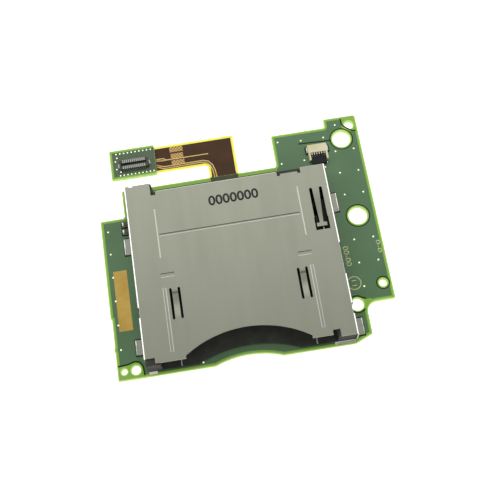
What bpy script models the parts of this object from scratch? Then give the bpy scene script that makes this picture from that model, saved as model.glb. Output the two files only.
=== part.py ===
"""Game card slot on a rigid-flex board.

A sprung card bay under a folded steel shell, a slider with a heart-shaped cam groove, and a flexible tail
that ends in a small connector board. A flip-lock film connector stands on the main board.
Places are given in millimetres: u runs right from the main board's left edge, v runs back from its front
edge and z runs up from its underside. The helpers turn them into metres about the middle of the part.
"""
import math

import bmesh
import bpy
from mathutils import Matrix, Vector

MM = 0.001
ARC_STEP = 15.0             # degrees between the points of a round corner
WELD = 1e-7                 # metres, closes the caps of a converted curve

# The card and its bay
CARD_W = 33.0
CARD_T = 3.8
CARD_CLEAR = 0.25           # each side of the card
HEADROOM = 0.45             # above the card, for its springs
BAY_H = CARD_T + HEADROOM

# Gaps
SEAT = 0.03                 # between faces that touch
RUN = 0.1                   # between faces that slide
OVER = 1.0                  # tools reach this far past what they cut
LAP = 0.1                   # pieces of one moulding overlap before they are joined

# Main board
BOARD_T = 0.8
MARGIN_LEFT = 5.96          # board to the left of the shell
MARGIN_RIGHT = 8.9          # board to the right of the shell
MARGIN_REAR = 3.35          # board behind the shell
BLOCK_W = 18.0              # the raised block at the rear right
BLOCK_D = 9.1
BLOCK_STEP_W = 6.7
BLOCK_STEP_D = 1.95
LEFT_STEP_W = 4.96
LEFT_STEP_D = 5.95
FRONT_CUT_W = 5.75          # the cut-away at the front right
FRONT_CUT_D = 7.6
FRONT_CUT_R = 2.0
CHAMFER_W = 3.4
CHAMFER_D = 1.4
THUMB_W = 13.0              # shallow thumb arc in the front edge
THUMB_D = 1.2
THUMB_U = 18.9
EDGE_STEP = 0.25            # the front of the left edge is routed in by this
EDGE_STEP_V = 12.2
NIB_OUT = 0.14              # mark left where the board was broken from its panel
NIB_V = 6.1
NIB_L = 0.7
OUTER_R = 0.5               # corners of the boards
INNER_R = 0.3
SCREW_R = 1.85
SCREW_IN = 3.76             # from the board's right edge
SCREW_REAR = 5.04           # from the block's rear edge
SCREW_PITCH = 17.32
CORNER_R = 0.95
CORNER_IN = 1.7
CORNER_REAR = 2.13
SIDE_R = 1.25               # beside the shell
SIDE_OUT = 1.4
SIDE_V = 7.5
PIN_R = 0.75
PIN_IN = 1.74
PIN_V = 11.0
LEFT_HOLES = ((3.80, 1.68, 0.9), (1.56, 1.68, 0.6))

# Flexible tail and its connector board
FILM_T = 0.12
FILM_GAP = 0.02             # round the film where it is laminated into a board
FILM_LAP = 1.2
FILM_W = 5.95               # width of both legs
FILM_U = 23.2               # left edge of the leg that leaves the board
FILM_OUT = 3.05             # from the board's rear edge to the cross leg
FILM_INNER_R = 0.8
FILM_ROOT_R = 0.75
TAIL_BOARD_U = 3.26
TAIL_BOARD_W = 9.4
TAIL_BOARD_D = 6.7
TAIL_BOARD_FRONT = 0.3      # in front of the cross leg

# Board-to-board connector on the tail
LINK_PITCH = 0.4
LINK_COUNT = 12             # contacts in each row
LINK_END = 0.75             # body beyond the last contact
LINK_D = 1.9
LINK_H = 0.8
LINK_TROUGH = 0.75
LINK_TROUGH_DEPTH = 0.55
LINK_CONTACT_W = 0.22
LINK_CONTACT_T = 0.06
LINK_TAIL = 0.25
LINK_BITE = 0.01            # contacts pressed into the body
LINK_CORNER_R = 0.15
LINK_RIGHT = 0.25           # body's middle from the connector board's middle
LINK_FRONT = 0.55
LINK_NAIL_L = 0.35
LINK_NAIL_W = 0.9
LINK_NAIL_H = 0.35

# Shell
SHELL_T = 0.25
SHELL_D = 34.35
SHELL_FRONT = 1.13
SHELL_FRONT_RIGHT = 0.62    # right of the front notch the top reaches further
BEND_R = 0.38
WALL_LIFT = 0.3             # side walls stop above the board
WALL_GAP = 0.04             # to the moulded base
FINGER_W = 23.6             # finger arc in the shell's front edge
FINGER_STEP = 0.6
FINGER_RISE = 3.6
CORNER_CUT_W = 2.15
CORNER_CUT_D = 1.05
NOTCH_FROM_RIGHT = 4.75
NOTCH_W = 1.4
NOTCH_D = 0.95
REAR_TAB_W = 5.2
REAR_TAB_D = 1.8
REAR_SLIT = 0.95
REAR_SLIT_D = 0.85
REAR_STEP = 0.2             # the rear edge right of the flange stands out by this
TAB_NICK_IN = 1.1           # nick in the rear tab, from the shell's left side
TAB_NICK_W = 0.7
TAB_NICK_D = 0.25
FLANGE_W = 3.5              # rear flange, bent down
FLANGE_FROM_RIGHT = 5.6
FLANGE_RELIEF = 0.6
FLANGE_RELIEF_D = 0.98      # from the rear edge
FLANGE_R = 0.2
FLANGE_DROP = 2.1
FLANGE_IN = 0.38
FOOT_OUT = 1.55
FOOT_R = 0.2
FOOT_LAP = 0.5              # up into the wall
FEET = (("left", 24.9, 3.3), ("left", 4.4, 2.9), ("right", 27.1, 3.9), ("right", 1.5, 3.2))
WALL_CUTS = (("left", 10.2, 2.0), ("right", 12.45, 6.4), ("right", 4.6, 2.05))
WALL_CUT_IN = 0.34          # cut through the bend, from the wall's outer face
BEAD_W = 0.72               # at its foot
BEAD_TOP_W = 0.4
BEAD_H = 0.1
BEAD_V = 3.0
BEAD_LENGTH = 12.0
BEAD_GAP = 0.5              # from the card spring's slot to the bead's foot
SPRING_SLOT_W = 0.48
SPRING_SLOT_V = 8.83
SPRING_SLOT_LENGTH = 6.22
SPRING_BRIDGE = 1.13        # strip left between the two slots
SPRING_IN = 3.46            # first slot, from the bay's edge
SPRING_DIP = 0.28
SPRING_LAP = 0.3            # into the sheet at both ends
COIN_W = 0.2                # V-shaped lines pressed into the sheet
COIN_DEPTH = 0.08
COIN_TIP_W = 0.01
COIN_OVER = 0.03            # the tool's height above the sheet
COIN_LEFT_IN = 2.65         # from the bay's edges
COIN_RIGHT_IN = 2.55
COIN_CROSS_V = 26.2
COIN_FRONT_V = 21.4
COIN_REAR_V = 31.7
RAMP_V = 18.1
RAMP_OUT = 0.45             # beyond the long lines
RAMP_W = 2.7

# Leaf of the shell that holds the cam pin down
LEAF_ROOT_V = 30.87
LEAF_TIP_V = 22.9
LEAF_ROOT_W = 1.4
LEAF_LAP = 0.35             # into the sheet at the root
LEAF_KNEE = 0.06            # between the strip's end and the pad
LEAF_NECK_W = 0.7
LEAF_PAD_W = 2.0
LEAF_PAD_L = 0.75
LEAF_U_IN = 0.95            # leaf's middle, right of the bay's edge
LEAF_SLOT = 0.57
LEAF_SLOT_R = 0.25
LEAF_TIP_GAP = 0.95         # from the pad to the window's front edge
LEAF_WINDOW_W = 2.75
LEAF_WINDOW_D = 2.65

# Moulded base
FLOOR_T = 0.57
RAIL_W = 2.66
DIVIDER_T = 0.34
OUTER_T = 0.45
GUIDE_DROP = 0.1            # the slider's guides stop below its top
GUIDE_LAP = 1.0             # the guides start this far inside the pin block
BASE_FRONT = 0.87
BASE_REAR = 34.75
REAR_WALL_T = 0.75
RAIL_CHAMFER = 0.32
WALL_IN = 0.1               # rear wall inside the rails' outline
WALL_DOWN = 0.05
CORNER_SHORT = 0.3          # rear corner short of the shell's tab
LUG_OUT = 0.12              # lugs beside the flange, past the shell's rear edge
SLIT_LUG_LAP = 0.3          # lug under the slit, beyond the slit's sides
RIB_US = (12.6, 38.5)       # low ribs on the floor at the mouth
RIB_W = 0.24
RIB_H = 0.06
RIB_L = 1.5
PIN_BLOCK_LAP = 0.5
FLOOR_ARC_W = 19.6
FLOOR_ARC_RISE = 2.15
DIVIDER_REAR = 25.5
FRONT_BLOCK_REAR = 10.5
LATCH_GAP = 0.22            # round a bump in its wall cut
LATCH_L = 2.4
LATCH_LOW = 1.2
LATCH_HIGH = 2.6
LATCH_LAP = 0.2             # into the base's wall
LATCH_SHY = 0.05            # behind the shell's outer face
HOLD_DOWN_REACH = 0.42
HOLD_DOWN_T = 0.12
HOLD_DOWN_H = 0.3
HOLD_DOWNS = (("left", 0.0, 1.6), ("right", 0.0, 4.0))

# Card contacts
CONTACT_COUNT = 17
CONTACT_PITCH = 1.6
CONTACT_W = 0.5
CONTACT_T = 0.15
CONTACT_TAIL = 1.9
CONTACT_LEVEL = 0.25        # strip's middle above the board inside the base
CONTACT_RISE = 0.9          # bump above the floor
CONTACT_BUMP_V = 27.4
CONTACT_TIP_V = 25.2
CONTACT_SLOT_V = 24.3
CONTACT_SLOT_CLEAR = 0.08
CONTACT_SLOT_OVER = 0.6     # the slots' tool above the floor
CONTACT_ROOF_CLEAR = 0.06
CONTACT_HELD = 0.8          # held strip, in front of the rear wall
CONTACT_BEND = 0.1          # from the held strip to the beam's bend
CONTACT_BEAM_R = 1.0
CONTACT_BUMP_R = 0.5
CONTACT_TIP_L = 0.5
CONTACT_TIP_R = 0.3
CONTACT_TIP_RISE = 0.15
CONTACT_TIP_DIP = 0.05
CONTACT_TAIL_GAP = 0.02     # tail above the board
CONTACT_TAIL_V = 0.75       # tail's bends, behind the rear wall
CONTACT_KNEE_V = 0.4
CONTACT_R = 0.2

# Slider, its spring and the cam pin
SLIDER_W = 2.41
SLIDER_H = 3.15
SLIDER_FRONT = 17.6
SLIDER_L = 11.0
SLIDER_TRAVEL = 3.6
ARM_REACH = 3.0
ARM_T = 1.2
ARM_H = 2.6
ARM_LIFT = 0.15
ARM_LAP = 0.3
ARM_CHAMFER = 0.3
LANE_W = 0.4
LANE_DEPTH = 0.5
LANE_STEP = 0.04            # every second lane is shallower by this
LANE_FIRST_V = 23.2         # where the pin's tip stands at rest
LANE_NOTCH = (-0.05, 0.95)  # resting notch, from the slider's middle and the full travel
LANE_LEFT = (-0.45, 0.15)
LANE_BACK = (-0.66, 1.9)
PIN_WIRE = 0.3
PIN_LENGTH = 11.2
PIN_OVER = 0.08             # wire above the slider's top
PIN_FOOT = 0.1              # tip above the lane's floor
PIN_ROOT_L = 0.75           # root's end below the slider's top
PIN_HOLE_DEPTH = 0.9
PIN_HOLE_CLEAR = 0.04
PIN_BEND_R = 0.3
PIN_LEFT = -0.5             # tip at rest and at full travel, from the slider's middle
PIN_RIGHT = 0.45
COIL_D = 1.5
COIL_WIRE = 0.26
COIL_TURNS = 12
COIL_CLEAR = 0.1
COIL_UNDER = 0.45           # plastic under the spring's pocket
COIL_END_GAP = 0.05
COIL_CLOSED = 0.55          # how much closer the end turns are
POCKET_FLOOR = 2.4          # slider's front face to the pocket's floor
SPIGOT_R = 0.32
SPIGOT_L = 2.0
SPIGOT_LAP = 0.2

# Film connector with a lever at its rear
FILM_CONTACTS = 6
FILM_PITCH = 0.5
LOCK_RIGHT = 7.2            # housing's right side, from the board's right edge
LOCK_ARM = 0.4
LOCK_SIDE = 0.3             # from the end contact to the arm
LOCK_REAR_GAP = 5.75        # from the block's rear edge
LOCK_BLOCK_D = 1.8
LOCK_ARM_D = 1.65
LOCK_H = 0.92
LOCK_MOUTH_H = 0.34
LOCK_MOUTH_D = 1.1
LOCK_MOUTH_SIDE = 0.05      # wider than the block between the arms
LOCK_LIP = 0.18             # between the mouth and the roof
LOCK_ROOF = 0.14
LEVER_T = 0.48
LEVER_D = 2.3
LEVER_RUN = 0.06
LEVER_CHAMFER = 0.15
LEVER_SLOT_L = 0.58         # in front of the axis
TRUNNION_R = 0.14
TRUNNION_L = 0.2
TRUNNION_CLEAR = 0.05
BLADE_W = 0.2
BLADE_SLOT = 0.3
BLADE_T = 0.15
BLADE_LIFT = 0.06
BLADE_SLOT_FRONT = 0.5      # slots past the block's front
BLADE_SLOT_REAR = 0.3       # and short of its rear
BLADE_TIP_IN = 0.45         # from the block's rear
BLADE_SPINE = (0.35, 0.6)   # from the block's front
BLADE_TAIL = 0.3            # past the lever
BLADE_FOOT = 0.4
BLADE_RISE = 0.1
BLADE_NOSE = 0.25           # contact point at the tip
BLADE_HOOK = 0.12           # over the lever's nose
BLADE_THIN = 0.02           # from the lever's slot floor
NAIL_W = 0.22
NAIL_D = 1.2
NAIL_H = 0.45
NAIL_IN = 0.3

# Chip capacitors beside the shell
CHIP_L = 1.5
CHIP_W = 0.8
CHIP_H = 0.75
CHIP_CAP = 0.3
CHIP_V = 29.7
CHIP_PITCH = 1.6
CHIP_GAP = 0.1              # to the shell
CHIP_CAP_OUT = 0.03         # plated ends stand proud of the ceramic

# Derived levels
SEAT_Z = BOARD_T + SEAT
FLOOR_Z = SEAT_Z + FLOOR_T
CEILING_Z = FLOOR_Z + BAY_H
TOP_Z = CEILING_Z + SHELL_T
RAIL_Z = CEILING_Z - WALL_GAP
SLIDER_Z = FLOOR_Z + RUN / 2
SLIDER_TOP = SLIDER_Z + SLIDER_H
PIN_Z = SLIDER_TOP + PIN_OVER + PIN_WIRE / 2

# Derived places across the slot
SHELL_L = MARGIN_LEFT
BASE_L = SHELL_L + SHELL_T + WALL_GAP
BAY_L = BASE_L + RAIL_W
BAY_R = BAY_L + CARD_W + 2 * CARD_CLEAR
BAY_MID = (BAY_L + BAY_R) / 2
DIVIDER_R = BAY_R + DIVIDER_T
SLIDER_L_U = DIVIDER_R + RUN
SLIDER_R_U = SLIDER_L_U + SLIDER_W
SLIDER_MID = (SLIDER_L_U + SLIDER_R_U) / 2
OUTER_L = SLIDER_R_U + RUN
BASE_R = OUTER_L + OUTER_T
SHELL_R = BASE_R + WALL_GAP + SHELL_T
BOARD_W = SHELL_R + MARGIN_RIGHT

# Derived places from front to rear
SHELL_REAR = SHELL_FRONT + SHELL_D
REAR_V = SHELL_REAR + MARGIN_REAR
BLOCK_V = REAR_V + BLOCK_D
FILM_V = REAR_V + FILM_OUT
FILM_REAR = FILM_V + FILM_W
TAIL_BOARD_V = FILM_V - TAIL_BOARD_FRONT
TAIL_BOARD_REAR = TAIL_BOARD_V + TAIL_BOARD_D
TAIL_BOARD_R = TAIL_BOARD_U + TAIL_BOARD_W
SLIDER_REAR = SLIDER_FRONT + SLIDER_L
WALL_V = BASE_REAR - REAR_WALL_T
PIN_ROOT_V = LANE_FIRST_V - PIN_LENGTH
FILM_Z = (BOARD_T - FILM_T) / 2
DEPTH = max(BLOCK_V, TAIL_BOARD_REAR)
MIDDLE = Vector((BOARD_W / 2, DEPTH / 2, 0.0))


def collection(name):
    made = bpy.data.collections.new(name)
    bpy.context.scene.collection.children.link(made)
    return made


def clear_scene():
    for item in list(bpy.data.objects):
        bpy.data.objects.remove(item, do_unlink=True)


def to_linear(value):
    return value / 12.92 if value <= 0.04045 else ((value + 0.055) / 1.055) ** 2.4


def make_material(name, hex_colour, metallic, roughness):
    made = bpy.data.materials.new(name)
    made.use_nodes = True
    shader = made.node_tree.nodes["Principled BSDF"]
    channels = [to_linear(int(hex_colour[i:i + 2], 16) / 255) for i in (0, 2, 4)]
    shader.inputs["Base Color"].default_value = (*channels, 1.0)
    shader.inputs["Metallic"].default_value = metallic
    shader.inputs["Roughness"].default_value = roughness
    return made


def rounded(points, closed=True):
    """Outline of (x, y) corners, where a third value rounds the corner to that radius."""
    outline = []
    for i, point in enumerate(points):
        here = Vector(point[:2])
        radius = point[2] if len(point) > 2 else 0.0
        at_end = not closed and i in (0, len(points) - 1)
        if radius <= 0 or at_end:
            outline.append(tuple(here))
            continue
        before = (Vector(points[i - 1][:2]) - here).normalized()
        after = (Vector(points[(i + 1) % len(points)][:2]) - here).normalized()
        half = before.angle(after) / 2
        centre = here + (before + after).normalized() * radius / math.sin(half)
        spoke = here + before * radius / math.tan(half) - centre
        turn = math.pi - 2 * half
        side = 1 if before.cross(after) < 0 else -1
        steps = max(2, round(math.degrees(turn) / ARC_STEP))
        for k in range(steps + 1):
            outline.append(tuple(centre + Matrix.Rotation(side * turn * k / steps, 2) @ spoke))
    return outline


def bowed(left, right, rise, steps=24):
    """Points on the arc from left to right whose middle stands off the chord by rise, towards +y."""
    half = (right[0] - left[0]) / 2
    radius = (half * half + rise * rise) / (2 * rise)
    reach = math.asin(min(1.0, half / radius))
    middle = (left[0] + right[0]) / 2
    return [(middle + radius * math.sin(reach * (2 * k / steps - 1)),
             left[1] + rise - radius + radius * math.cos(reach * (2 * k / steps - 1)))
            for k in range(steps + 1)]


def circle(x, y, radius, sides=28):
    return [(x + radius * math.cos(math.tau * k / sides), y + radius * math.sin(math.tau * k / sides))
            for k in range(sides)]


def stadium(start, end, width, steps=6):
    """Outline of a slot with round ends between two points."""
    start, end = Vector(start), Vector(end)
    angle = math.atan2(end.y - start.y, end.x - start.x)
    outline = []
    for centre, first in ((end, angle - math.pi / 2), (start, angle + math.pi / 2)):
        for k in range(steps + 1):
            turn = first + math.pi * k / steps
            outline.append((centre.x + width / 2 * math.cos(turn), centre.y + width / 2 * math.sin(turn)))
    return outline


def strip(points, thickness):
    """Outline of a sheet that follows a centre line."""
    line = [Vector(point) for point in points]
    upper, lower = [], []
    for i, point in enumerate(line):
        after = (line[min(i + 1, len(line) - 1)] - line[min(i, len(line) - 2)]).normalized()
        before = (line[max(i, 1)] - line[max(i - 1, 0)]).normalized()
        tangent = (before + after).normalized()
        normal = Vector((-tangent.y, tangent.x))
        reach = thickness / 2 / normal.dot(Vector((-after.y, after.x)))
        upper.append(tuple(point + normal * reach))
        lower.append(tuple(point - normal * reach))
    return upper + lower[::-1]


def finish_mesh(name, mesh, tool=False, tint=None):
    """Weld a millimetre mesh, face it outwards, turn it into metres and make it an object."""
    work = bmesh.new()
    work.from_mesh(mesh)
    bmesh.ops.remove_doubles(work, verts=work.verts, dist=WELD / MM)
    bmesh.ops.recalc_face_normals(work, faces=work.faces)
    bmesh.ops.translate(work, verts=work.verts, vec=-MIDDLE)
    bmesh.ops.scale(work, verts=work.verts, vec=(MM, MM, MM))
    work.to_mesh(mesh)
    work.free()
    made = bpy.data.objects.new(name, mesh)
    if tool:
        made.hide_render = True
        made.display_type = "WIRE"
        CUTTERS.objects.link(made)
    else:
        PARTS.objects.link(made)
        made.data.materials.clear()
        made.data.materials.append(tint)
    return made


def curve_mesh(curve, turn=None):
    """Mesh of a curve data-block, turned by a matrix before it is placed."""
    guide = bpy.data.objects.new("guide", curve)
    bpy.context.scene.collection.objects.link(guide)
    graph = bpy.context.evaluated_depsgraph_get()
    mesh = bpy.data.meshes.new_from_object(guide.evaluated_get(graph))
    bpy.data.objects.remove(guide, do_unlink=True)
    if turn is not None:
        mesh.transform(turn)
    return mesh


AXES = {
    "Z": Matrix.Identity(4),
    "Y": Matrix(((1, 0, 0, 0), (0, 0, 1, 0), (0, 1, 0, 0), (0, 0, 0, 1))),
    "X": Matrix(((0, 0, 1, 0), (1, 0, 0, 0), (0, 1, 0, 0), (0, 0, 0, 1))),
}


def slab(name, outlines, low, high, axis="Z", tool=False, tint=None):
    """Flat outlines (the first one outside, the others holes) made as thick as low to high.

    The outline lies in u, v for axis Z, in u, z for axis Y and in v, z for axis X.
    """
    curve = bpy.data.curves.new(name, "CURVE")
    curve.dimensions = "2D"
    curve.fill_mode = "BOTH"
    curve.extrude = (high - low) / 2
    for outline in outlines:
        spline = curve.splines.new("POLY")
        spline.points.add(len(outline) - 1)
        for point, place in zip(spline.points, outline):
            point.co = (place[0], place[1], 0.0, 1.0)
        spline.use_cyclic_u = True
    place = Matrix.Translation((0, 0, (low + high) / 2))
    return finish_mesh(name, curve_mesh(curve, AXES[axis] @ place), tool, tint)


def box(name, u, v, z, tool=False, tint=None):
    """Block between the low and high values of u, v and z."""
    work = bmesh.new()
    bmesh.ops.create_cube(work, size=1.0)
    bmesh.ops.scale(work, verts=work.verts, vec=(u[1] - u[0], v[1] - v[0], z[1] - z[0]))
    middle = [(low + high) / 2 for low, high in (u, v, z)]
    bmesh.ops.translate(work, verts=work.verts, vec=middle)
    mesh = bpy.data.meshes.new(name)
    work.to_mesh(mesh)
    work.free()
    return finish_mesh(name, mesh, tool, tint)


def rod(name, start, end, radius, sides=20, tool=False, tint=None):
    """Round bar between two points."""
    start, end = Vector(start), Vector(end)
    work = bmesh.new()
    bmesh.ops.create_cone(work, cap_ends=True, segments=sides, radius1=radius, radius2=radius,
                          depth=(end - start).length)
    turn = (end - start).to_track_quat("Z", "Y").to_matrix().to_4x4()
    bmesh.ops.transform(work, verts=work.verts, matrix=Matrix.Translation((start + end) / 2) @ turn)
    mesh = bpy.data.meshes.new(name)
    work.to_mesh(mesh)
    work.free()
    return finish_mesh(name, mesh, tool, tint)


def wire(name, points, radius, sharpness, tint):
    """Round wire through a list of places, closed at both ends."""
    curve = bpy.data.curves.new(name, "CURVE")
    curve.dimensions = "3D"
    curve.bevel_depth = radius
    curve.bevel_resolution = sharpness
    curve.use_fill_caps = True
    spline = curve.splines.new("POLY")
    spline.points.add(len(points) - 1)
    for point, place in zip(spline.points, points):
        point.co = (*place, 1.0)
    made = finish_mesh(name, curve_mesh(curve), tint=tint)
    made.data.shade_smooth()
    return made


def ridge(name, start, end, low_w, high_w, low, high):
    """Tool with round ends and sloping sides: a slot's outline that widens or narrows from low to high."""
    work = bmesh.new()
    rings = [[work.verts.new((u, v, z)) for u, v in stadium(start, end, width)]
             for width, z in ((low_w, low), (high_w, high))]
    count = len(rings[0])
    for k in range(count):
        after = (k + 1) % count
        work.faces.new((rings[0][k], rings[0][after], rings[1][after], rings[1][k]))
    work.faces.new(rings[0])
    work.faces.new(rings[1])
    mesh = bpy.data.meshes.new(name)
    work.to_mesh(mesh)
    work.free()
    return finish_mesh(name, mesh, tool=True)


def gather(name, tools):
    """Join tools that don't touch each other into one."""
    work = bmesh.new()
    for item in tools:
        work.from_mesh(item.data)
        bpy.data.objects.remove(item, do_unlink=True)
    mesh = bpy.data.meshes.new(name)
    work.to_mesh(mesh)
    work.free()
    made = bpy.data.objects.new(name, mesh)
    made.hide_render = True
    made.display_type = "WIRE"
    CUTTERS.objects.link(made)
    return made


def carve(target, tool):
    combine(target, tool, "DIFFERENCE")


def join(target, tool):
    combine(target, tool, "UNION")


def combine(target, tool, operation):
    modifier = target.modifiers.new(tool.name, "BOOLEAN")
    modifier.operation = operation
    modifier.solver = "EXACT"
    modifier.object = tool


def hinge_origin(item, place):
    """Put an object's origin on its joint's axis."""
    origin = (Vector(place) - MIDDLE) * MM
    item.data.transform(Matrix.Translation(-origin))
    item.location = origin


def board_outline():
    thumb = bowed((THUMB_U, 0.0), (THUMB_U + THUMB_W, 0.0), THUMB_D)
    cut_u = BOARD_W - FRONT_CUT_W
    block_u = BOARD_W - BLOCK_W
    step_u = BOARD_W - BLOCK_STEP_W
    corners = [
        (cut_u - CHAMFER_W, 0.0), (cut_u, CHAMFER_D), (cut_u, FRONT_CUT_D, FRONT_CUT_R),
        (BOARD_W, FRONT_CUT_D, INNER_R), (BOARD_W, BLOCK_V, OUTER_R), (step_u, BLOCK_V, INNER_R),
        (step_u, BLOCK_V - BLOCK_STEP_D, INNER_R), (block_u, BLOCK_V - BLOCK_STEP_D, INNER_R),
        (block_u, REAR_V, OUTER_R), (LEFT_STEP_W, REAR_V, INNER_R),
        (LEFT_STEP_W, REAR_V - LEFT_STEP_D, OUTER_R), (0.0, REAR_V - LEFT_STEP_D, INNER_R),
        (0.0, EDGE_STEP_V + EDGE_STEP), (EDGE_STEP, EDGE_STEP_V),
    ]
    nib_front, nib_rear = NIB_V - NIB_L / 2, NIB_V + NIB_L / 2
    corners += [(EDGE_STEP, nib_rear + NIB_OUT), (EDGE_STEP - NIB_OUT, nib_rear),
                (EDGE_STEP - NIB_OUT, nib_front), (EDGE_STEP, nib_front - NIB_OUT)]
    origin = (EDGE_STEP, 0.0)
    return [origin] + thumb + rounded(corners + [origin], closed=False)[:-1]


def build_board():
    screw_u = BOARD_W - SCREW_IN
    screw_v = BLOCK_V - SCREW_REAR
    holes = [circle(screw_u, screw_v, SCREW_R), circle(screw_u, screw_v - SCREW_PITCH, SCREW_R),
             circle(BOARD_W - CORNER_IN, BLOCK_V - CORNER_REAR, CORNER_R, 20),
             circle(SHELL_R + SIDE_OUT, SIDE_V, SIDE_R, 24), circle(BOARD_W - PIN_IN, PIN_V, PIN_R, 20)]
    holes += [circle(u, v, radius, 16) for u, v, radius in LEFT_HOLES]
    board = slab("board", [board_outline()] + holes, 0.0, BOARD_T, tint=MASK_GREEN)
    root_l = FILM_U - FILM_ROOT_R - FILM_GAP
    root_r = FILM_U + FILM_W + FILM_ROOT_R + FILM_GAP
    carve(board, box("board_film_pocket", (root_l, root_r), (REAR_V - FILM_LAP - FILM_GAP, REAR_V + OVER),
                     (FILM_Z - FILM_GAP, FILM_Z + FILM_T + FILM_GAP), tool=True))


def build_tail():
    left, right = FILM_U, FILM_U + FILM_W
    end = TAIL_BOARD_R - FILM_LAP
    outline = rounded([
        (end, FILM_V), (left, FILM_V, FILM_INNER_R), (left, REAR_V, FILM_ROOT_R - 0.01),
        (left - FILM_ROOT_R, REAR_V), (left - FILM_ROOT_R, REAR_V - FILM_LAP),
        (right + FILM_ROOT_R, REAR_V - FILM_LAP), (right + FILM_ROOT_R, REAR_V),
        (right, REAR_V, FILM_ROOT_R - 0.01), (right, FILM_REAR, 0.3), (end, FILM_REAR)])
    slab("flex_tail", [outline], FILM_Z, FILM_Z + FILM_T, tint=FILM_BROWN)
    corners = [(TAIL_BOARD_U, TAIL_BOARD_V, 0.3), (TAIL_BOARD_R, TAIL_BOARD_V, 0.2),
               (TAIL_BOARD_R, TAIL_BOARD_REAR, 0.2), (TAIL_BOARD_U, TAIL_BOARD_REAR, 0.3)]
    rigid = slab("connector_board", [rounded(corners)], 0.0, BOARD_T, tint=MASK_GREEN)
    carve(rigid, box("tail_film_pocket", (end - FILM_GAP, TAIL_BOARD_R + OVER),
                     (FILM_V - FILM_GAP, FILM_REAR + FILM_GAP),
                     (FILM_Z - FILM_GAP, FILM_Z + FILM_T + FILM_GAP), tool=True))


def build_link():
    """Board-to-board connector: a troughed body with contacts folded over both of its long walls."""
    middle_u = TAIL_BOARD_U + TAIL_BOARD_W / 2 + LINK_RIGHT
    middle_v = (TAIL_BOARD_V + TAIL_BOARD_REAR) / 2 - LINK_FRONT
    half_l = LINK_PITCH * (LINK_COUNT - 1) / 2 + LINK_END
    half_d = LINK_D / 2
    top = SEAT_Z + LINK_H
    corners = [(middle_u + side_u * half_l, middle_v + side_v * half_d, LINK_CORNER_R)
               for side_u, side_v in ((-1, -1), (1, -1), (1, 1), (-1, 1))]
    body = slab("link_housing", [rounded(corners)], SEAT_Z, top, tint=LINK_BLACK)
    trough_l = half_l - LINK_END / 2
    trough = top - LINK_TROUGH_DEPTH
    across = (middle_v - LINK_TROUGH / 2, middle_v + LINK_TROUGH / 2)
    carve(body, box("link_trough", (middle_u - trough_l, middle_u + trough_l), across,
                    (trough, top + OVER), tool=True))
    folds = []
    sheet = LINK_CONTACT_T / 2
    for side in (-1, 1):
        inner = middle_v + side * (LINK_TROUGH / 2 - sheet + LINK_BITE)
        outer = middle_v + side * (half_d + sheet - LINK_BITE)
        level = top + sheet - LINK_BITE
        foot = SEAT_Z + sheet
        path = [(inner, trough + 2 * sheet), (inner, level), (outer, level), (outer, foot),
                (outer + side * LINK_TAIL, foot)]
        for k in range(LINK_COUNT):
            u = middle_u + LINK_PITCH * (k - (LINK_COUNT - 1) / 2)
            folds.append(slab("link_contact", [strip(path, LINK_CONTACT_T)], u - LINK_CONTACT_W / 2,
                              u + LINK_CONTACT_W / 2, "X", tool=True))
    join(body, gather("link_contacts", folds))
    for side, name in ((-1, "link_nail_left"), (1, "link_nail_right")):
        inner = middle_u + side * (half_l + SEAT)
        across = (middle_v - LINK_NAIL_W / 2, middle_v + LINK_NAIL_W / 2)
        box(name, sorted((inner, inner + side * LINK_NAIL_L)), across, (SEAT_Z, SEAT_Z + LINK_NAIL_H),
            tint=TIN)


def shell_section():
    half = SHELL_T / 2
    foot = BOARD_T + WALL_LIFT
    line = rounded([(SHELL_L + half, foot), (SHELL_L + half, TOP_Z - half, BEND_R),
                    (SHELL_R - half, TOP_Z - half, BEND_R), (SHELL_R - half, foot)], closed=False)
    return strip(line, SHELL_T)


def shell_front_tools():
    """Straight edge, finger arc, corner cut and the notch over the mechanism, at the shell's front edge."""
    start = SHELL_FRONT - OVER
    step = SHELL_FRONT + FINGER_STEP
    left, right = BAY_MID - FINGER_W / 2, BAY_MID + FINGER_W / 2
    notch = SHELL_R - NOTCH_FROM_RIGHT
    yield box("front_edge", (SHELL_L - OVER, notch), (start, SHELL_FRONT), (0.0, TOP_Z + OVER), tool=True)
    arc = [(left, start)] + bowed((left, step), (right, step), FINGER_RISE, 32) + [(right, start)]
    yield slab("finger_arc", [arc], CEILING_Z - OVER, TOP_Z + OVER, tool=True)
    yield box("corner_cut", (SHELL_L - OVER, SHELL_L + CORNER_CUT_W), (start, SHELL_FRONT + CORNER_CUT_D),
              (0.0, TOP_Z + OVER), tool=True)
    yield box("front_notch", (notch, notch + NOTCH_W), (start, SHELL_FRONT + NOTCH_D),
              (CEILING_Z - OVER, TOP_Z + OVER), tool=True)


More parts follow.
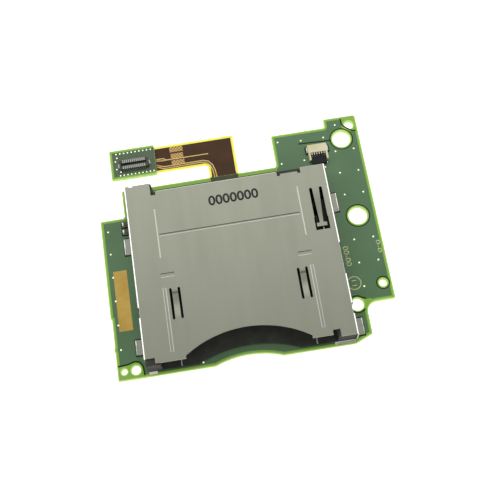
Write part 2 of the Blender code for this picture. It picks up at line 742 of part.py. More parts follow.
def shell_rear_tools():
    """Everything behind the shell's stepped rear edge, and the nick in its tab."""
    tab = SHELL_L + REAR_TAB_W
    flange_r = SHELL_R - FLANGE_FROM_RIGHT
    flange_l = flange_r - FLANGE_W
    slit_v = SHELL_REAR - REAR_SLIT_D
    relief_v = SHELL_REAR - FLANGE_RELIEF_D
    fold_v = SHELL_REAR - FLANGE_IN - SHELL_T
    step_v = SHELL_REAR + REAR_STEP
    far_v = SHELL_REAR + REAR_TAB_D + OVER
    outline = [
        (tab, slit_v), (tab + REAR_SLIT, slit_v), (tab + REAR_SLIT, SHELL_REAR),
        (flange_l - FLANGE_RELIEF, SHELL_REAR), (flange_l - FLANGE_RELIEF, relief_v), (flange_l, relief_v),
        (flange_l, fold_v), (flange_r, fold_v),
        (flange_r, relief_v), (flange_r + FLANGE_RELIEF, relief_v), (flange_r + FLANGE_RELIEF, step_v),
        (SHELL_R + OVER, step_v), (SHELL_R + OVER, far_v), (tab, far_v)]
    yield slab("rear_edge", [outline], 0.0, TOP_Z + OVER, tool=True)
    nick = SHELL_L + TAB_NICK_IN
    yield box("tab_nick", (nick, nick + TAB_NICK_W), (SHELL_REAR + REAR_TAB_D - TAB_NICK_D, far_v),
              (CEILING_Z - OVER, TOP_Z + OVER), tool=True)


def side_span(side, inward, outward):
    """Low and high u of something at the shell's left or right side."""
    if side == "left":
        return SHELL_L - outward, SHELL_L + inward
    return SHELL_R - inward, SHELL_R + outward


def add_foot(shell, side, front, length):
    """Solder foot: the wall runs down to the board and turns outwards."""
    sign = -1 if side == "left" else 1
    wall = SHELL_L + SHELL_T / 2 if side == "left" else SHELL_R - SHELL_T / 2
    level = SEAT_Z + SHELL_T / 2
    line = rounded([(wall, BOARD_T + WALL_LIFT + FOOT_LAP), (wall, level, FOOT_R),
                    (wall + sign * (FOOT_OUT + SHELL_T / 2), level)], closed=False)
    join(shell, slab("foot", [strip(line, SHELL_T)], front, front + length, "Y", tool=True))


def add_card_spring(shell, inner, sign):
    """Two slots with a strip between them that is bowed down onto the card."""
    first = inner + sign * SPRING_SLOT_W / 2
    second = first + sign * (SPRING_BRIDGE + SPRING_SLOT_W)
    front = SPRING_SLOT_V + SPRING_SLOT_W / 2
    rear = SPRING_SLOT_V + SPRING_SLOT_LENGTH - SPRING_SLOT_W / 2
    for u in (first, second):
        carve(shell, slab("spring_slot", [stadium((u, front), (u, rear), SPRING_SLOT_W)],
                          CEILING_Z - OVER, TOP_Z + OVER, tool=True))
    low, high = sorted((first, second))
    carve(shell, box("spring_window", (low, high), (front, rear), (CEILING_Z - OVER, TOP_Z + OVER),
                     tool=True))
    steps = 12
    level = TOP_Z - SHELL_T / 2
    line = [(front - SPRING_LAP, level)]
    line += [(front + (rear - front) * k / steps, level - SPRING_DIP * math.sin(math.pi * k / steps) ** 2)
             for k in range(steps + 1)]
    line += [(rear + SPRING_LAP, level)]
    join(shell, slab("spring_strip", [strip(line, SHELL_T)], low + SPRING_SLOT_W / 2,
                     high - SPRING_SLOT_W / 2, "X", tool=True))


def leaf_mesh(middle, drop):
    """Loft of the leaf: a tapering strip that slopes down to a wider pad over the cam pin."""
    neck_v = LEAF_TIP_V + LEAF_PAD_L
    stations = [(LEAF_ROOT_V + LEAF_LAP, LEAF_ROOT_W, 0.0)]
    steps = 8
    for k in range(steps + 1):
        along = k / steps
        ease = along * along * (3 - 2 * along)
        stations.append((LEAF_ROOT_V + (neck_v + LEAF_KNEE - LEAF_ROOT_V) * along,
                         LEAF_ROOT_W + (LEAF_NECK_W - LEAF_ROOT_W) * along, drop * ease))
    stations += [(neck_v, LEAF_PAD_W, drop), (LEAF_TIP_V, LEAF_PAD_W, drop)]
    work = bmesh.new()
    rings = []
    for v, width, fall in stations:
        left, right = middle - width / 2, middle + width / 2
        high = TOP_Z - fall
        low = high - SHELL_T
        corners = ((left, v, high), (right, v, high), (right, v, low), (left, v, low))
        rings.append([work.verts.new(corner) for corner in corners])
    for first, second in zip(rings, rings[1:]):
        for k in range(4):
            work.faces.new((first[k], first[(k + 1) % 4], second[(k + 1) % 4], second[k]))
    work.faces.new(rings[0])
    work.faces.new(rings[-1])
    mesh = bpy.data.meshes.new("leaf")
    work.to_mesh(mesh)
    work.free()
    return mesh


def add_leaf(shell):
    middle = BAY_R + LEAF_U_IN
    half = LEAF_ROOT_W / 2 + LEAF_SLOT
    window = LEAF_WINDOW_W / 2
    window_v = LEAF_TIP_V - LEAF_TIP_GAP
    slots = rounded([(middle - half, LEAF_TIP_V), (middle + half, LEAF_TIP_V),
                     (middle + half, LEAF_ROOT_V, LEAF_SLOT_R), (middle - half, LEAF_ROOT_V, LEAF_SLOT_R)])
    carve(shell, slab("leaf_slots", [slots], CEILING_Z - OVER, TOP_Z + OVER, tool=True))
    carve(shell, box("leaf_window", (middle - window, middle + window), (window_v, window_v + LEAF_WINDOW_D),
                     (CEILING_Z - OVER, TOP_Z + OVER), tool=True))
    pad_underside = PIN_Z + PIN_WIRE / 2 + SEAT
    join(shell, finish_mesh("leaf", leaf_mesh(middle, CEILING_Z - pad_underside), tool=True))


def add_rear_flange(shell):
    flange = SHELL_R - FLANGE_FROM_RIGHT
    face = SHELL_REAR - FLANGE_IN - SHELL_T / 2
    level = TOP_Z - SHELL_T / 2
    line = rounded([(face - OVER, level), (face, level, FLANGE_R), (face, TOP_Z - FLANGE_DROP)], closed=False)
    join(shell, slab("rear_flange", [strip(line, SHELL_T)], flange - FLANGE_W, flange, "X", tool=True))


def build_shell():
    shell = slab("shell", [shell_section()], SHELL_FRONT_RIGHT, SHELL_REAR + REAR_TAB_D, "Y", tint=STEEL)
    for tool in shell_front_tools():
        carve(shell, tool)
    for tool in shell_rear_tools():
        carve(shell, tool)
    for side, front, length in WALL_CUTS:
        carve(shell, box("wall_cut", side_span(side, WALL_CUT_IN, OVER), (front, front + length),
                         (0.0, TOP_Z + OVER), tool=True))
    for side, front, length in FEET:
        add_foot(shell, side, front, length)
    for inner, sign in ((BAY_L + SPRING_IN, 1), (BAY_R - SPRING_IN, -1)):
        add_card_spring(shell, inner, sign)
        bead = inner - sign * (BEAD_GAP + BEAD_W / 2)
        join(shell, ridge("bead", (bead, BEAD_V), (bead, BEAD_V + BEAD_LENGTH), BEAD_W, BEAD_TOP_W,
                          TOP_Z, TOP_Z + BEAD_H))
    add_leaf(shell)
    add_rear_flange(shell)
    carve(shell, gather("coined_lines", coined_lines()))


def coined_lines():
    """V-shaped lines pressed into the top: two long, one across between them, a short one at each side."""
    left, right = BAY_L + COIN_LEFT_IN, BAY_R - COIN_RIGHT_IN
    apart = 1.5 * COIN_W
    lines = [((left, COIN_FRONT_V), (left, COIN_REAR_V)), ((right, COIN_FRONT_V), (right, COIN_REAR_V)),
             ((left + apart, COIN_CROSS_V), (right - apart, COIN_CROSS_V)),
             ((left - RAMP_OUT, RAMP_V), (left - RAMP_OUT + RAMP_W, RAMP_V)),
             ((right + RAMP_OUT - RAMP_W, RAMP_V), (right + RAMP_OUT, RAMP_V))]
    wide = COIN_W * (COIN_DEPTH + COIN_OVER) / COIN_DEPTH
    return [ridge("coin", start, end, COIN_TIP_W, wide, TOP_Z - COIN_DEPTH, TOP_Z + COIN_OVER)
            for start, end in lines]


def contact_u(index):
    return BAY_MID + CONTACT_PITCH * (index - (CONTACT_COUNT - 1) / 2)


def wall_tool(name, left, right, high, start, end):
    """Upright piece of the base between two v values, its two upper corners chamfered."""
    low = SEAT_Z + LAP
    cut = RAIL_CHAMFER
    outline = [(left, low), (left, high - cut), (left + cut, high), (right - cut, high), (right, high - cut),
               (right, low)]
    return slab(name, [outline], start, end, "Y", tool=True)


def rear_pieces():
    """Rear wall, the corner under the shell's tab and the lugs that show in the notches of its rear edge."""
    low = SEAT_Z + LAP
    yield wall_tool("rear_wall", BASE_L + WALL_IN, BASE_R - WALL_IN, RAIL_Z - WALL_DOWN, WALL_V, BASE_REAR)
    tab = SHELL_L + REAR_TAB_W
    lap_v = BASE_REAR - CORNER_SHORT
    corner_v = SHELL_REAR + REAR_TAB_D - CORNER_SHORT
    yield wall_tool("rear_corner", BASE_L, tab, RAIL_Z, lap_v, corner_v)
    lug_z = (low, RAIL_Z - WALL_DOWN - SEAT)
    slit_u = (tab - 2 * RAIL_CHAMFER, tab + REAR_SLIT + SLIT_LUG_LAP)
    yield box("slit_lug", slit_u, (lap_v, SHELL_REAR), lug_z, tool=True)
    flange_r = SHELL_R - FLANGE_FROM_RIGHT
    flange_l = flange_r - FLANGE_W
    for lug_u in ((flange_l - FLANGE_RELIEF, flange_l - RUN), (flange_r + RUN, flange_r + FLANGE_RELIEF)):
        yield box("flange_lug", lug_u, (lap_v, SHELL_REAR + LUG_OUT), lug_z, tool=True)


def contact_slots():
    """Passages for the card contacts, open below, from the floor under their tips out through the rear."""
    roof = BOARD_T + CONTACT_LEVEL + CONTACT_T / 2 + CONTACT_ROOF_CLEAR
    held_v = WALL_V - CONTACT_HELD
    high = FLOOR_Z + CONTACT_SLOT_OVER
    half = CONTACT_W / 2 + CONTACT_SLOT_CLEAR
    path = [(CONTACT_SLOT_V, 0.0), (CONTACT_SLOT_V, high), (held_v, high), (held_v, roof),
            (BASE_REAR + OVER, roof), (BASE_REAR + OVER, 0.0)]
    return [slab("contact_slot", [path], contact_u(k) - half, contact_u(k) + half, "X", tool=True)
            for k in range(CONTACT_COUNT)]


def build_base():
    """Moulded base: floor, card rails, front blocks, rear wall and the guides of the slider."""
    left, right = BAY_MID - FLOOR_ARC_W / 2, BAY_MID + FLOOR_ARC_W / 2
    floor = ([(BASE_L, BASE_FRONT)] + bowed((left, BASE_FRONT), (right, BASE_FRONT), FLOOR_ARC_RISE)
             + [(BASE_R, BASE_FRONT), (BASE_R, BASE_REAR), (BASE_L, BASE_REAR)])
    base = slab("base", [floor], SEAT_Z, FLOOR_Z, tint=BASE_BLACK)
    low = SEAT_Z + LAP
    join(base, wall_tool("left_rail", BASE_L, BAY_L, RAIL_Z, BASE_FRONT, BASE_REAR))
    join(base, wall_tool("front_block", BAY_R, BASE_R, RAIL_Z, BASE_FRONT, FRONT_BLOCK_REAR))
    join(base, box("pin_block", (BAY_R, BASE_R), (FRONT_BLOCK_REAR - PIN_BLOCK_LAP, SLIDER_FRONT - RUN),
                   (low, SLIDER_TOP), tool=True))
    guide_v = SLIDER_FRONT - GUIDE_LAP
    guide_z = (low, SLIDER_TOP - GUIDE_DROP)
    join(base, box("divider", (BAY_R, DIVIDER_R), (guide_v, DIVIDER_REAR), guide_z, tool=True))
    join(base, box("outer_wall", (OUTER_L, BASE_R), (guide_v, BASE_REAR - LAP), guide_z, tool=True))
    for tool in rear_pieces():
        join(base, tool)
    for side, front, length in WALL_CUTS[:2]:
        if side == "left":
            across = (SHELL_L + LATCH_SHY, BASE_L + LATCH_LAP)
        else:
            across = (BASE_R - LATCH_LAP, SHELL_R - LATCH_SHY)
        along = (front + LATCH_GAP, front + min(length, LATCH_L) - LATCH_GAP)
        join(base, box("latch_bump", across, along, (SEAT_Z + LATCH_LOW, SEAT_Z + LATCH_HIGH), tool=True))
    for u in RIB_US:
        join(base, box("rib", (u - RIB_W / 2, u + RIB_W / 2), (BASE_FRONT + LAP, BASE_FRONT + LAP + RIB_L),
                       (FLOOR_Z - LAP, FLOOR_Z + RIB_H), tool=True))
    carve(base, gather("contact_slots", contact_slots()))
    hole_z = SLIDER_TOP - PIN_HOLE_DEPTH
    carve(base, rod("pin_hole", (SLIDER_MID, PIN_ROOT_V, hole_z), (SLIDER_MID, PIN_ROOT_V, SLIDER_TOP + OVER),
                    PIN_WIRE / 2 + PIN_HOLE_CLEAR, 16, tool=True))
    join(base, rod("rear_spigot", (SLIDER_MID, WALL_V - SPIGOT_L, coil_z()),
                   (SLIDER_MID, WALL_V + SPIGOT_LAP, coil_z()), SPIGOT_R, 16, tool=True))


def build_hold_downs():
    """Small tinned brackets that tie the front of the base to the board."""
    for side, start, width in HOLD_DOWNS:
        face = BASE_FRONT - SEAT - HOLD_DOWN_T / 2
        level = SEAT_Z + HOLD_DOWN_T / 2
        line = [(face - HOLD_DOWN_REACH, level), (face, level), (face, SEAT_Z + HOLD_DOWN_H)]
        low = BASE_L + start if side == "left" else BASE_R - start - width
        slab("hold_down_" + side, [strip(line, HOLD_DOWN_T)], low, low + width, "X", tint=TIN)


def build_contacts():
    """Cantilever contacts: solder tail, held strip, rising beam, round bump and a tip that dips."""
    level = BOARD_T + CONTACT_LEVEL
    tail_z = BOARD_T + CONTACT_TAIL_GAP + CONTACT_T / 2
    bump = FLOOR_Z + CONTACT_RISE - CONTACT_T / 2
    path = rounded([(BASE_REAR + CONTACT_TAIL, tail_z), (BASE_REAR + CONTACT_TAIL_V, tail_z, CONTACT_R),
                    (BASE_REAR + CONTACT_KNEE_V, level, CONTACT_R),
                    (WALL_V - CONTACT_HELD - CONTACT_BEND, level, CONTACT_BEAM_R),
                    (CONTACT_BUMP_V, bump, CONTACT_BUMP_R),
                    (CONTACT_TIP_V + CONTACT_TIP_L, FLOOR_Z + CONTACT_TIP_RISE, CONTACT_TIP_R),
                    (CONTACT_TIP_V, FLOOR_Z - CONTACT_TIP_DIP)], closed=False)
    for k in range(CONTACT_COUNT):
        u = contact_u(k)
        slab("contact_%02d" % (k + 1), [strip(path, CONTACT_T)], u - CONTACT_W / 2, u + CONTACT_W / 2, "X",
             tint=GOLD)


def coil_z():
    return SLIDER_Z + COIL_UNDER + COIL_CLEAR + COIL_D / 2


def build_slider():
    """Slider: a card hook at its rear, a spring pocket inside it and the heart-shaped groove on top."""
    slider = box("slider", (SLIDER_L_U, SLIDER_R_U), (SLIDER_FRONT, SLIDER_REAR), (SLIDER_Z, SLIDER_TOP),
                 tint=SLIDER_DARK)
    root_u, tip_u = SLIDER_L_U + ARM_LAP, BAY_R - ARM_REACH
    arm_v, arm_z = SLIDER_REAR - ARM_T, SLIDER_Z + ARM_LIFT
    hook = [(root_u, arm_v), (tip_u + ARM_CHAMFER, arm_v), (tip_u, arm_v + ARM_CHAMFER), (tip_u, SLIDER_REAR),
            (root_u, SLIDER_REAR)]
    join(slider, slab("hook", [hook], arm_z, arm_z + ARM_H, tool=True))
    pocket_v = SLIDER_FRONT + POCKET_FLOOR
    carve(slider, rod("spring_pocket", (SLIDER_MID, pocket_v, coil_z()),
                      (SLIDER_MID, SLIDER_REAR + OVER, coil_z()), COIL_D / 2 + COIL_CLEAR, 20, tool=True))
    join(slider, rod("slider_spigot", (SLIDER_MID, pocket_v - SPIGOT_LAP, coil_z()),
                     (SLIDER_MID, pocket_v + SPIGOT_L, coil_z()), SPIGOT_R, 16, tool=True))
    corners = heart_lanes()
    for k, (start, end) in enumerate(zip(corners, corners[1:] + corners[:1])):
        floor = SLIDER_TOP - LANE_DEPTH + LANE_STEP * (k % 2)
        carve(slider, slab("lane_%d" % k, [stadium(start, end, LANE_W)], floor, SLIDER_TOP + OVER, tool=True))
    hinge_origin(slider, (SLIDER_MID, SLIDER_FRONT, SLIDER_Z))


def heart_lanes():
    """Corners of the pin's loop: entry, far right, resting notch, far left and the way back."""
    end_v = LANE_FIRST_V - SLIDER_TRAVEL
    corners = [(SLIDER_MID + PIN_LEFT, LANE_FIRST_V), (SLIDER_MID + PIN_RIGHT, end_v)]
    return corners + [(SLIDER_MID + u, end_v + v) for u, v in (LANE_NOTCH, LANE_LEFT, LANE_BACK)]


def build_spring():
    """Compression spring with closer turns at its ends."""
    end_gap = COIL_WIRE / 2 + COIL_END_GAP
    start = SLIDER_FRONT + POCKET_FLOOR + end_gap
    length = WALL_V - end_gap - start
    radius = (COIL_D - COIL_WIRE) / 2
    count = COIL_TURNS * 10
    points = []
    for k in range(count + 1):
        along = k / count
        turn = math.tau * COIL_TURNS * along
        eased = along - COIL_CLOSED * math.sin(math.tau * along) / math.tau
        points.append((SLIDER_MID + radius * math.cos(turn), start + length * eased,
                       coil_z() + radius * math.sin(turn)))
    wire("eject_spring", points, COIL_WIRE / 2, 1, SPRING_STEEL)


def build_cam_pin():
    """Bent wire that turns in the base at its front end and follows the groove with its tip."""
    root = Vector((SLIDER_MID, PIN_ROOT_V, 0.0))
    tip = Vector((SLIDER_MID + PIN_LEFT, LANE_FIRST_V, 0.0))
    along = (tip - root).normalized()
    reach = (tip - root).length
    profile = rounded([(0.0, SLIDER_TOP - PIN_ROOT_L), (0.0, PIN_Z, PIN_BEND_R), (reach, PIN_Z, PIN_BEND_R),
                       (reach, SLIDER_TOP - LANE_DEPTH + PIN_FOOT)], closed=False)
    points = [(*(root + along * s).xy, z) for s, z in profile]
    pin = wire("cam_pin", points, PIN_WIRE / 2, 2, SPRING_STEEL)
    hinge_origin(pin, (SLIDER_MID, PIN_ROOT_V, PIN_Z))


def lock_places():
    """Left and right sides, front face of the block, and the lever's axis of the film connector."""
    right = BOARD_W - LOCK_RIGHT
    width = FILM_PITCH * (FILM_CONTACTS - 1) + 2 * (LOCK_SIDE + LOCK_ARM)
    rear = BLOCK_V - LOCK_REAR_GAP
    front = rear - LOCK_BLOCK_D
    axis_v = front - LEVER_T / 2 - LEVER_RUN
    axis_z = SEAT_Z + LOCK_H - LOCK_ROOF - LEVER_T / 2
    return right - width, right, rear, front, axis_v, axis_z


def blade_u(index):
    left, right = lock_places()[:2]
    return (left + right) / 2 + FILM_PITCH * (index - (FILM_CONTACTS - 1) / 2)


def build_film_connector():
    left, right, rear, front, axis_v, axis_z = lock_places()
    top = SEAT_Z + LOCK_H
    arm_v = front - LOCK_ARM_D
    inner_l, inner_r = left + LOCK_ARM, right - LOCK_ARM
    outline = [(left, arm_v), (inner_l, arm_v), (inner_l, front), (inner_r, front), (inner_r, arm_v),
               (right, arm_v), (right, rear), (left, rear)]
    body = slab("lock_housing", [outline], SEAT_Z, top, tint=CREAM)
    mouth_z = top - LOCK_ROOF - LOCK_LIP - LOCK_MOUTH_H
    carve(body, box("film_mouth", (inner_l - LOCK_MOUTH_SIDE, inner_r + LOCK_MOUTH_SIDE),
                    (rear - LOCK_MOUTH_D, rear + OVER), (mouth_z, mouth_z + LOCK_MOUTH_H), tool=True))
    carve(body, gather("blade_slots", [
        box("blade_slot", (blade_u(k) - BLADE_SLOT / 2, blade_u(k) + BLADE_SLOT / 2),
            (front - BLADE_SLOT_FRONT, rear - BLADE_SLOT_REAR), (SEAT_Z - OVER, top - LOCK_ROOF), tool=True)
        for k in range(FILM_CONTACTS)]))
    hole = TRUNNION_L + LEVER_RUN
    carve(body, rod("trunnion_holes", (inner_l - hole, axis_v, axis_z), (inner_r + hole, axis_v, axis_z),
                    TRUNNION_R + TRUNNION_CLEAR, 16, tool=True))
    build_lever(left, right, axis_v, axis_z)
    build_blades(rear, front, axis_v, axis_z)
    for name, inner, sign in (("lock_nail_left", left, -1), ("lock_nail_right", right, 1)):
        reach = sorted((inner + sign * SEAT, inner + sign * (SEAT + NAIL_W)))
        box(name, reach, (front + NAIL_IN, front + NAIL_IN + NAIL_D), (SEAT_Z, SEAT_Z + NAIL_H), tint=TIN)


def build_lever(left, right, axis_v, axis_z):
    """Flip lever: a plate with a round nose on its axis, slotted for the blades."""
    half = LEVER_T / 2
    low, high = left + LOCK_ARM + LEVER_RUN, right - LOCK_ARM - LEVER_RUN
    steps = 8
    nose = [(axis_v + half * math.sin(math.pi * k / steps), axis_z + half * math.cos(math.pi * k / steps))
            for k in range(steps + 1)]
    back = axis_v - LEVER_D
    section = nose + [(back, axis_z - half), (back, axis_z + half - LEVER_CHAMFER),
                      (back + LEVER_CHAMFER, axis_z + half)]
    lever = slab("lock_lever", [section], low, high, "X", tint=LEVER_BLACK)
    carve(lever, gather("lever_slots", [
        box("lever_slot", (blade_u(k) - BLADE_SLOT / 2, blade_u(k) + BLADE_SLOT / 2),
            (axis_v - LEVER_SLOT_L, axis_v + OVER), (axis_z - OVER, axis_z + OVER), tool=True)
        for k in range(FILM_CONTACTS)]))
    for start, end in ((low - TRUNNION_L, low + LAP), (high - LAP, high + TRUNNION_L)):
        join(lever, rod("trunnion", (start, axis_v, axis_z), (end, axis_v, axis_z), TRUNNION_R, 16,
                        tool=True))
    hinge_origin(lever, ((left + right) / 2, axis_v, axis_z))


def build_blades(rear, front, axis_v, axis_z):
    """Blanked fork contacts: a solder tail, a lower beam and an upper beam that hooks over the lever."""
    base = SEAT_Z + BLADE_LIFT
    floor = base + BLADE_T
    upper = axis_z + LEVER_T / 2 - BLADE_THIN
    lower = axis_z + LEVER_T / 2 - BLADE_T
    spine_l, spine_r = front + BLADE_SPINE[0], front + BLADE_SPINE[1]
    tip = rear - BLADE_TIP_IN
    hook = axis_v - BLADE_HOOK
    tail = axis_v - LEVER_D - BLADE_TAIL
    foot = tail + BLADE_FOOT
    outline = [(tail, SEAT_Z), (foot + BLADE_RISE, SEAT_Z), (foot + 2 * BLADE_RISE, base), (tip, base),
               (tip, floor), (spine_r, floor), (spine_r, lower), (tip - BLADE_NOSE, lower),
               (tip - BLADE_NOSE / 2, lower - BLADE_LIFT), (tip, lower), (tip, upper), (hook, upper),
               (hook, lower + BLADE_THIN), (spine_l, lower), (spine_l, floor), (foot + BLADE_RISE, floor),
               (foot, SEAT_Z + BLADE_T), (tail, SEAT_Z + BLADE_T)]
    for k in range(FILM_CONTACTS):
        slab("lock_contact_%d" % (k + 1), [outline], blade_u(k) - BLADE_W / 2, blade_u(k) + BLADE_W / 2, "X",
             tint=GOLD)


def build_chips():
    """Chip capacitors: a ceramic body between two slightly larger plated ends."""
    right = SHELL_L - CHIP_GAP
    left = right - CHIP_L
    for k in range(2):
        v = CHIP_V + k * CHIP_PITCH
        half = CHIP_W / 2
        chip = box("chip_capacitor_%d" % (k + 1), (left + CHIP_CAP / 2, right - CHIP_CAP / 2),
                   (v - half + CHIP_CAP_OUT, v + half - CHIP_CAP_OUT),
                   (SEAT_Z + CHIP_CAP_OUT, SEAT_Z + CHIP_H - CHIP_CAP_OUT), tint=CERAMIC)
        ends = [box("chip_end", (u, u + CHIP_CAP), (v - half, v + half), (SEAT_Z, SEAT_Z + CHIP_H), tool=True)
                for u in (left, right - CHIP_CAP)]
        join(chip, gather("chip_ends", ends))


clear_scene()
PARTS = collection("game_card_slot")
CUTTERS = collection("cutters")
MASK_GREEN = make_material("solder_mask", "547A55", 0.0, 0.45)
FILM_BROWN = make_material("flex_coverlay", "553C32", 0.0, 0.4)
LINK_BLACK = make_material("link_plastic", "2C3436", 0.0, 0.5)
TIN = make_material("tinned_metal", "C9CBBE", 1.0, 0.35)
STEEL = make_material("stainless_sheet", "9A998C", 1.0, 0.4)
BASE_BLACK = make_material("base_plastic", "2B2B2C", 0.0, 0.5)
GOLD = make_material("gold_plate", "C9A24C", 1.0, 0.3)
SLIDER_DARK = make_material("slider_plastic", "4A3A34", 0.0, 0.45)
SPRING_STEEL = make_material("spring_wire", "A9A9A6", 1.0, 0.3)
CREAM = make_material("lock_plastic", "DFD9B4", 0.0, 0.5)
LEVER_BLACK = make_material("lever_plastic", "1E1E1F", 0.0, 0.4)
CERAMIC = make_material("chip_ceramic", "6B5F50", 0.0, 0.5)

build_board()
build_tail()
build_link()
build_base()
build_hold_downs()
build_contacts()
build_shell()
build_slider()
build_spring()
build_cam_pin()
build_film_connector()
build_chips()
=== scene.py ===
"""Finish of a game card slot: a rigid-flex board with a steel-shelled card bay and its small connectors.

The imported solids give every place. This script lays copper, mask, film, solder and print over them, rounds
their edges, gives each piece its finish, and sets a light table, soft lights and the camera.
"""
import math

import bpy
from bpy.props import FloatProperty, FloatVectorProperty, PointerProperty
from mathutils import Euler, Matrix, Vector


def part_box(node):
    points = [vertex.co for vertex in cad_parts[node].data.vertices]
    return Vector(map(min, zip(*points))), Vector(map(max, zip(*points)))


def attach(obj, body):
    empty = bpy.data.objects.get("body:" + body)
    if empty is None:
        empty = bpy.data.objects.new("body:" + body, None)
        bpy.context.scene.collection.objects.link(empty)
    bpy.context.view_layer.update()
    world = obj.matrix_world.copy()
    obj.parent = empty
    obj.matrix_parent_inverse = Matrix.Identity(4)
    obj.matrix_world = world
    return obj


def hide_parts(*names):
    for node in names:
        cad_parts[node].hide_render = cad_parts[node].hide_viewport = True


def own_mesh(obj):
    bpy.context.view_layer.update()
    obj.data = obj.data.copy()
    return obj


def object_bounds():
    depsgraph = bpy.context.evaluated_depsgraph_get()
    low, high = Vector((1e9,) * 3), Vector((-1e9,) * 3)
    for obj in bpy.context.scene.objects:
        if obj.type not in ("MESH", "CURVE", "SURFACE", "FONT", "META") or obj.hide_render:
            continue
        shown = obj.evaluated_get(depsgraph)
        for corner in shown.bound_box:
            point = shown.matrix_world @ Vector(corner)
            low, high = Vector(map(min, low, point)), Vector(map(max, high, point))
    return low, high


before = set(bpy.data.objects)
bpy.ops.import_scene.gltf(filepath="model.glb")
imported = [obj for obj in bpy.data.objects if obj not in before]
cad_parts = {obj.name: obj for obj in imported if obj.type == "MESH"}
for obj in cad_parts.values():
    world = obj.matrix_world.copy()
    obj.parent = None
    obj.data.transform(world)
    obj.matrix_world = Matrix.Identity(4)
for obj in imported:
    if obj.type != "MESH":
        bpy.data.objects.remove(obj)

bl_info = {
    "name": "Game Card Slot Finish",
    "version": (1, 0, 0),
    "blender": (4, 5, 0),
    "location": "View3D > Sidebar > Card Slot",
    "description": "Dresses the packed card slot with its board layers, metal, plastic and print",
    "category": "Object",
}

MM = 0.001
CAD_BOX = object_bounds()
ROOT = "frame"


def to_linear(value):
    return value / 12.92 if value <= 0.04045 else ((value + 0.055) / 1.055) ** 2.4


def colour(hex_code):
    """sRGB hex as a linear red, green, blue and alpha."""
    return tuple(to_linear(int(hex_code[i:i + 2], 16) / 255) for i in (0, 2, 4)) + (1.0,)


def low(node):
    return Vector(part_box(node)[0])


def high(node):
    return Vector(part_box(node)[1])


ORIGIN = low("board")
BOARD_TOP = high("board").z
BEAD_HEIGHT = 0.1 * MM
SHELL_TOP = high("shell").z - BEAD_HEIGHT
BASE_LEFT, BASE_RIGHT = low("base").x, high("base").x

# Rounding of thin stampings and of small mouldings
FINE_EDGE = 0.02 * MM
SMALL_EDGE = 0.03 * MM


def spot(u, v, z=0.0):
    """Place given in millimetres from the board's left and front edges, with z in metres."""
    return Vector((ORIGIN.x + u * MM, ORIGIN.y + v * MM, z))


def tint_property(name, hex_code, words):
    return FloatVectorProperty(name=name, description=words, subtype="COLOR", size=4, min=0.0, max=1.0,
                               default=colour(hex_code))


def length_property(name, value_mm, words):
    return FloatProperty(name=name, description=words, unit="LENGTH", default=value_mm * MM)


class BoardLook(bpy.types.PropertyGroup):
    """Sizes and colours of the boards and the flexible tail."""
    rim: length_property("Bare rim", 0.22, "Width of the routed laminate edge that no mask covers")
    mask_rim: length_property("Thin mask rim", 0.36, "Mask past the rim that no copper backs")
    layer: length_property("Layer height", 0.022, "Thickness of the copper and mask on the laminate")
    film_rim: length_property("Film rim", 0.5, "Width of the clear film beyond the tail's copper")
    via: length_property("Via diameter", 0.34, "Diameter of a plated through hole")
    ring: length_property("Hole ring", 0.36, "From a hole's edge to the dark ring round it")
    laminate: tint_property("Laminate", "B8D678", "Glass epoxy with light coming through it")
    thin: tint_property("Thin mask", "84AC52", "Green mask with light coming through it")
    mask: tint_property("Mask", "446D3F", "Green mask over a copper plane")
    mask_far: tint_property("Mask shade", "4D7449", "Second tone of the mask")
    dense: tint_property("Dense mask", "3F5635", "Green mask over the close traces of the connector board")
    # Plane gap tint: real cuts in the copper, painted darker as the shade in their narrow grooves
    gap: tint_property("Plane gap", "1C3010", "Mask over the gap between two copper planes")
    gold: tint_property("Gold pad", "BEA054", "Immersion gold over nickel")
    film: tint_property("Film edge", "EEE438", "Polyimide film with light coming through it")
    cover: tint_property("Coverlay", "412B13", "Brown film over copper")
    trace: tint_property("Trace", "D6BA7A", "Copper seen through the film")
    via_glow: tint_property("Via", "EAF6D2", "Light that comes up through a via")
    legend: tint_property("Legend", "D3D6A0", "Printed legend on the mask")


class MetalLook(bpy.types.PropertyGroup):
    """Sizes and colours of the shell, springs, contacts and solder."""
    edge: length_property("Sheet edge", 0.035, "Rounding of a punched sheet edge")
    steel: tint_property("Steel", "9A9C8D", "Cold rolled stainless sheet")
    steel_far: tint_property("Steel shade", "969889", "Darker tone along the rolling direction")
    # Bend tint: near-white painted highlight on the upper side bends; the front brackets take the same tint
    bend: tint_property("Bend highlight", "F1F1EC", "Steel drawn bright over the folding die")
    # Steel highlight tint: pale painted highlight on the bead flanks and on the glint lines
    steel_highlight: tint_property("Steel highlight", "C9C9C0", "Bright flank of a bead or a coined line")
    # Coined tint: pale painted highlight on the flanks of the two long coined lines
    coined: tint_property("Coined line highlight", "D6D6CC", "Bright flanks of the two long coined lines")
    shade: tint_property("Line's far side", "6B6A62", "Dark flank of a coined line")
    # Crease tint: painted shade on a band across each card spring where it bends sharply
    crease: tint_property("Crease", "77786D", "Sharp bend at the rear end of a card spring")
    wire: tint_property("Wire", "A6A6A2", "Drawn spring wire")
    tin: tint_property("Tin", "E3E5DB", "Tin plate and solder")
    dull: tint_property("Dull tin", "A0A298", "Thin tin on the shell's feet")
    plate: tint_property("Contact plating", "C79A45", "Gold flash on the contacts")
    pale: tint_property("Pale plating", "C9C6B6", "Thin gold over nickel on the fine contacts")
    skirt: length_property("Solder skirt", 0.16, "Solder that shows round a foot")
    ink: tint_property("Ink", "0F0E0C", "Ink of the printed figures")


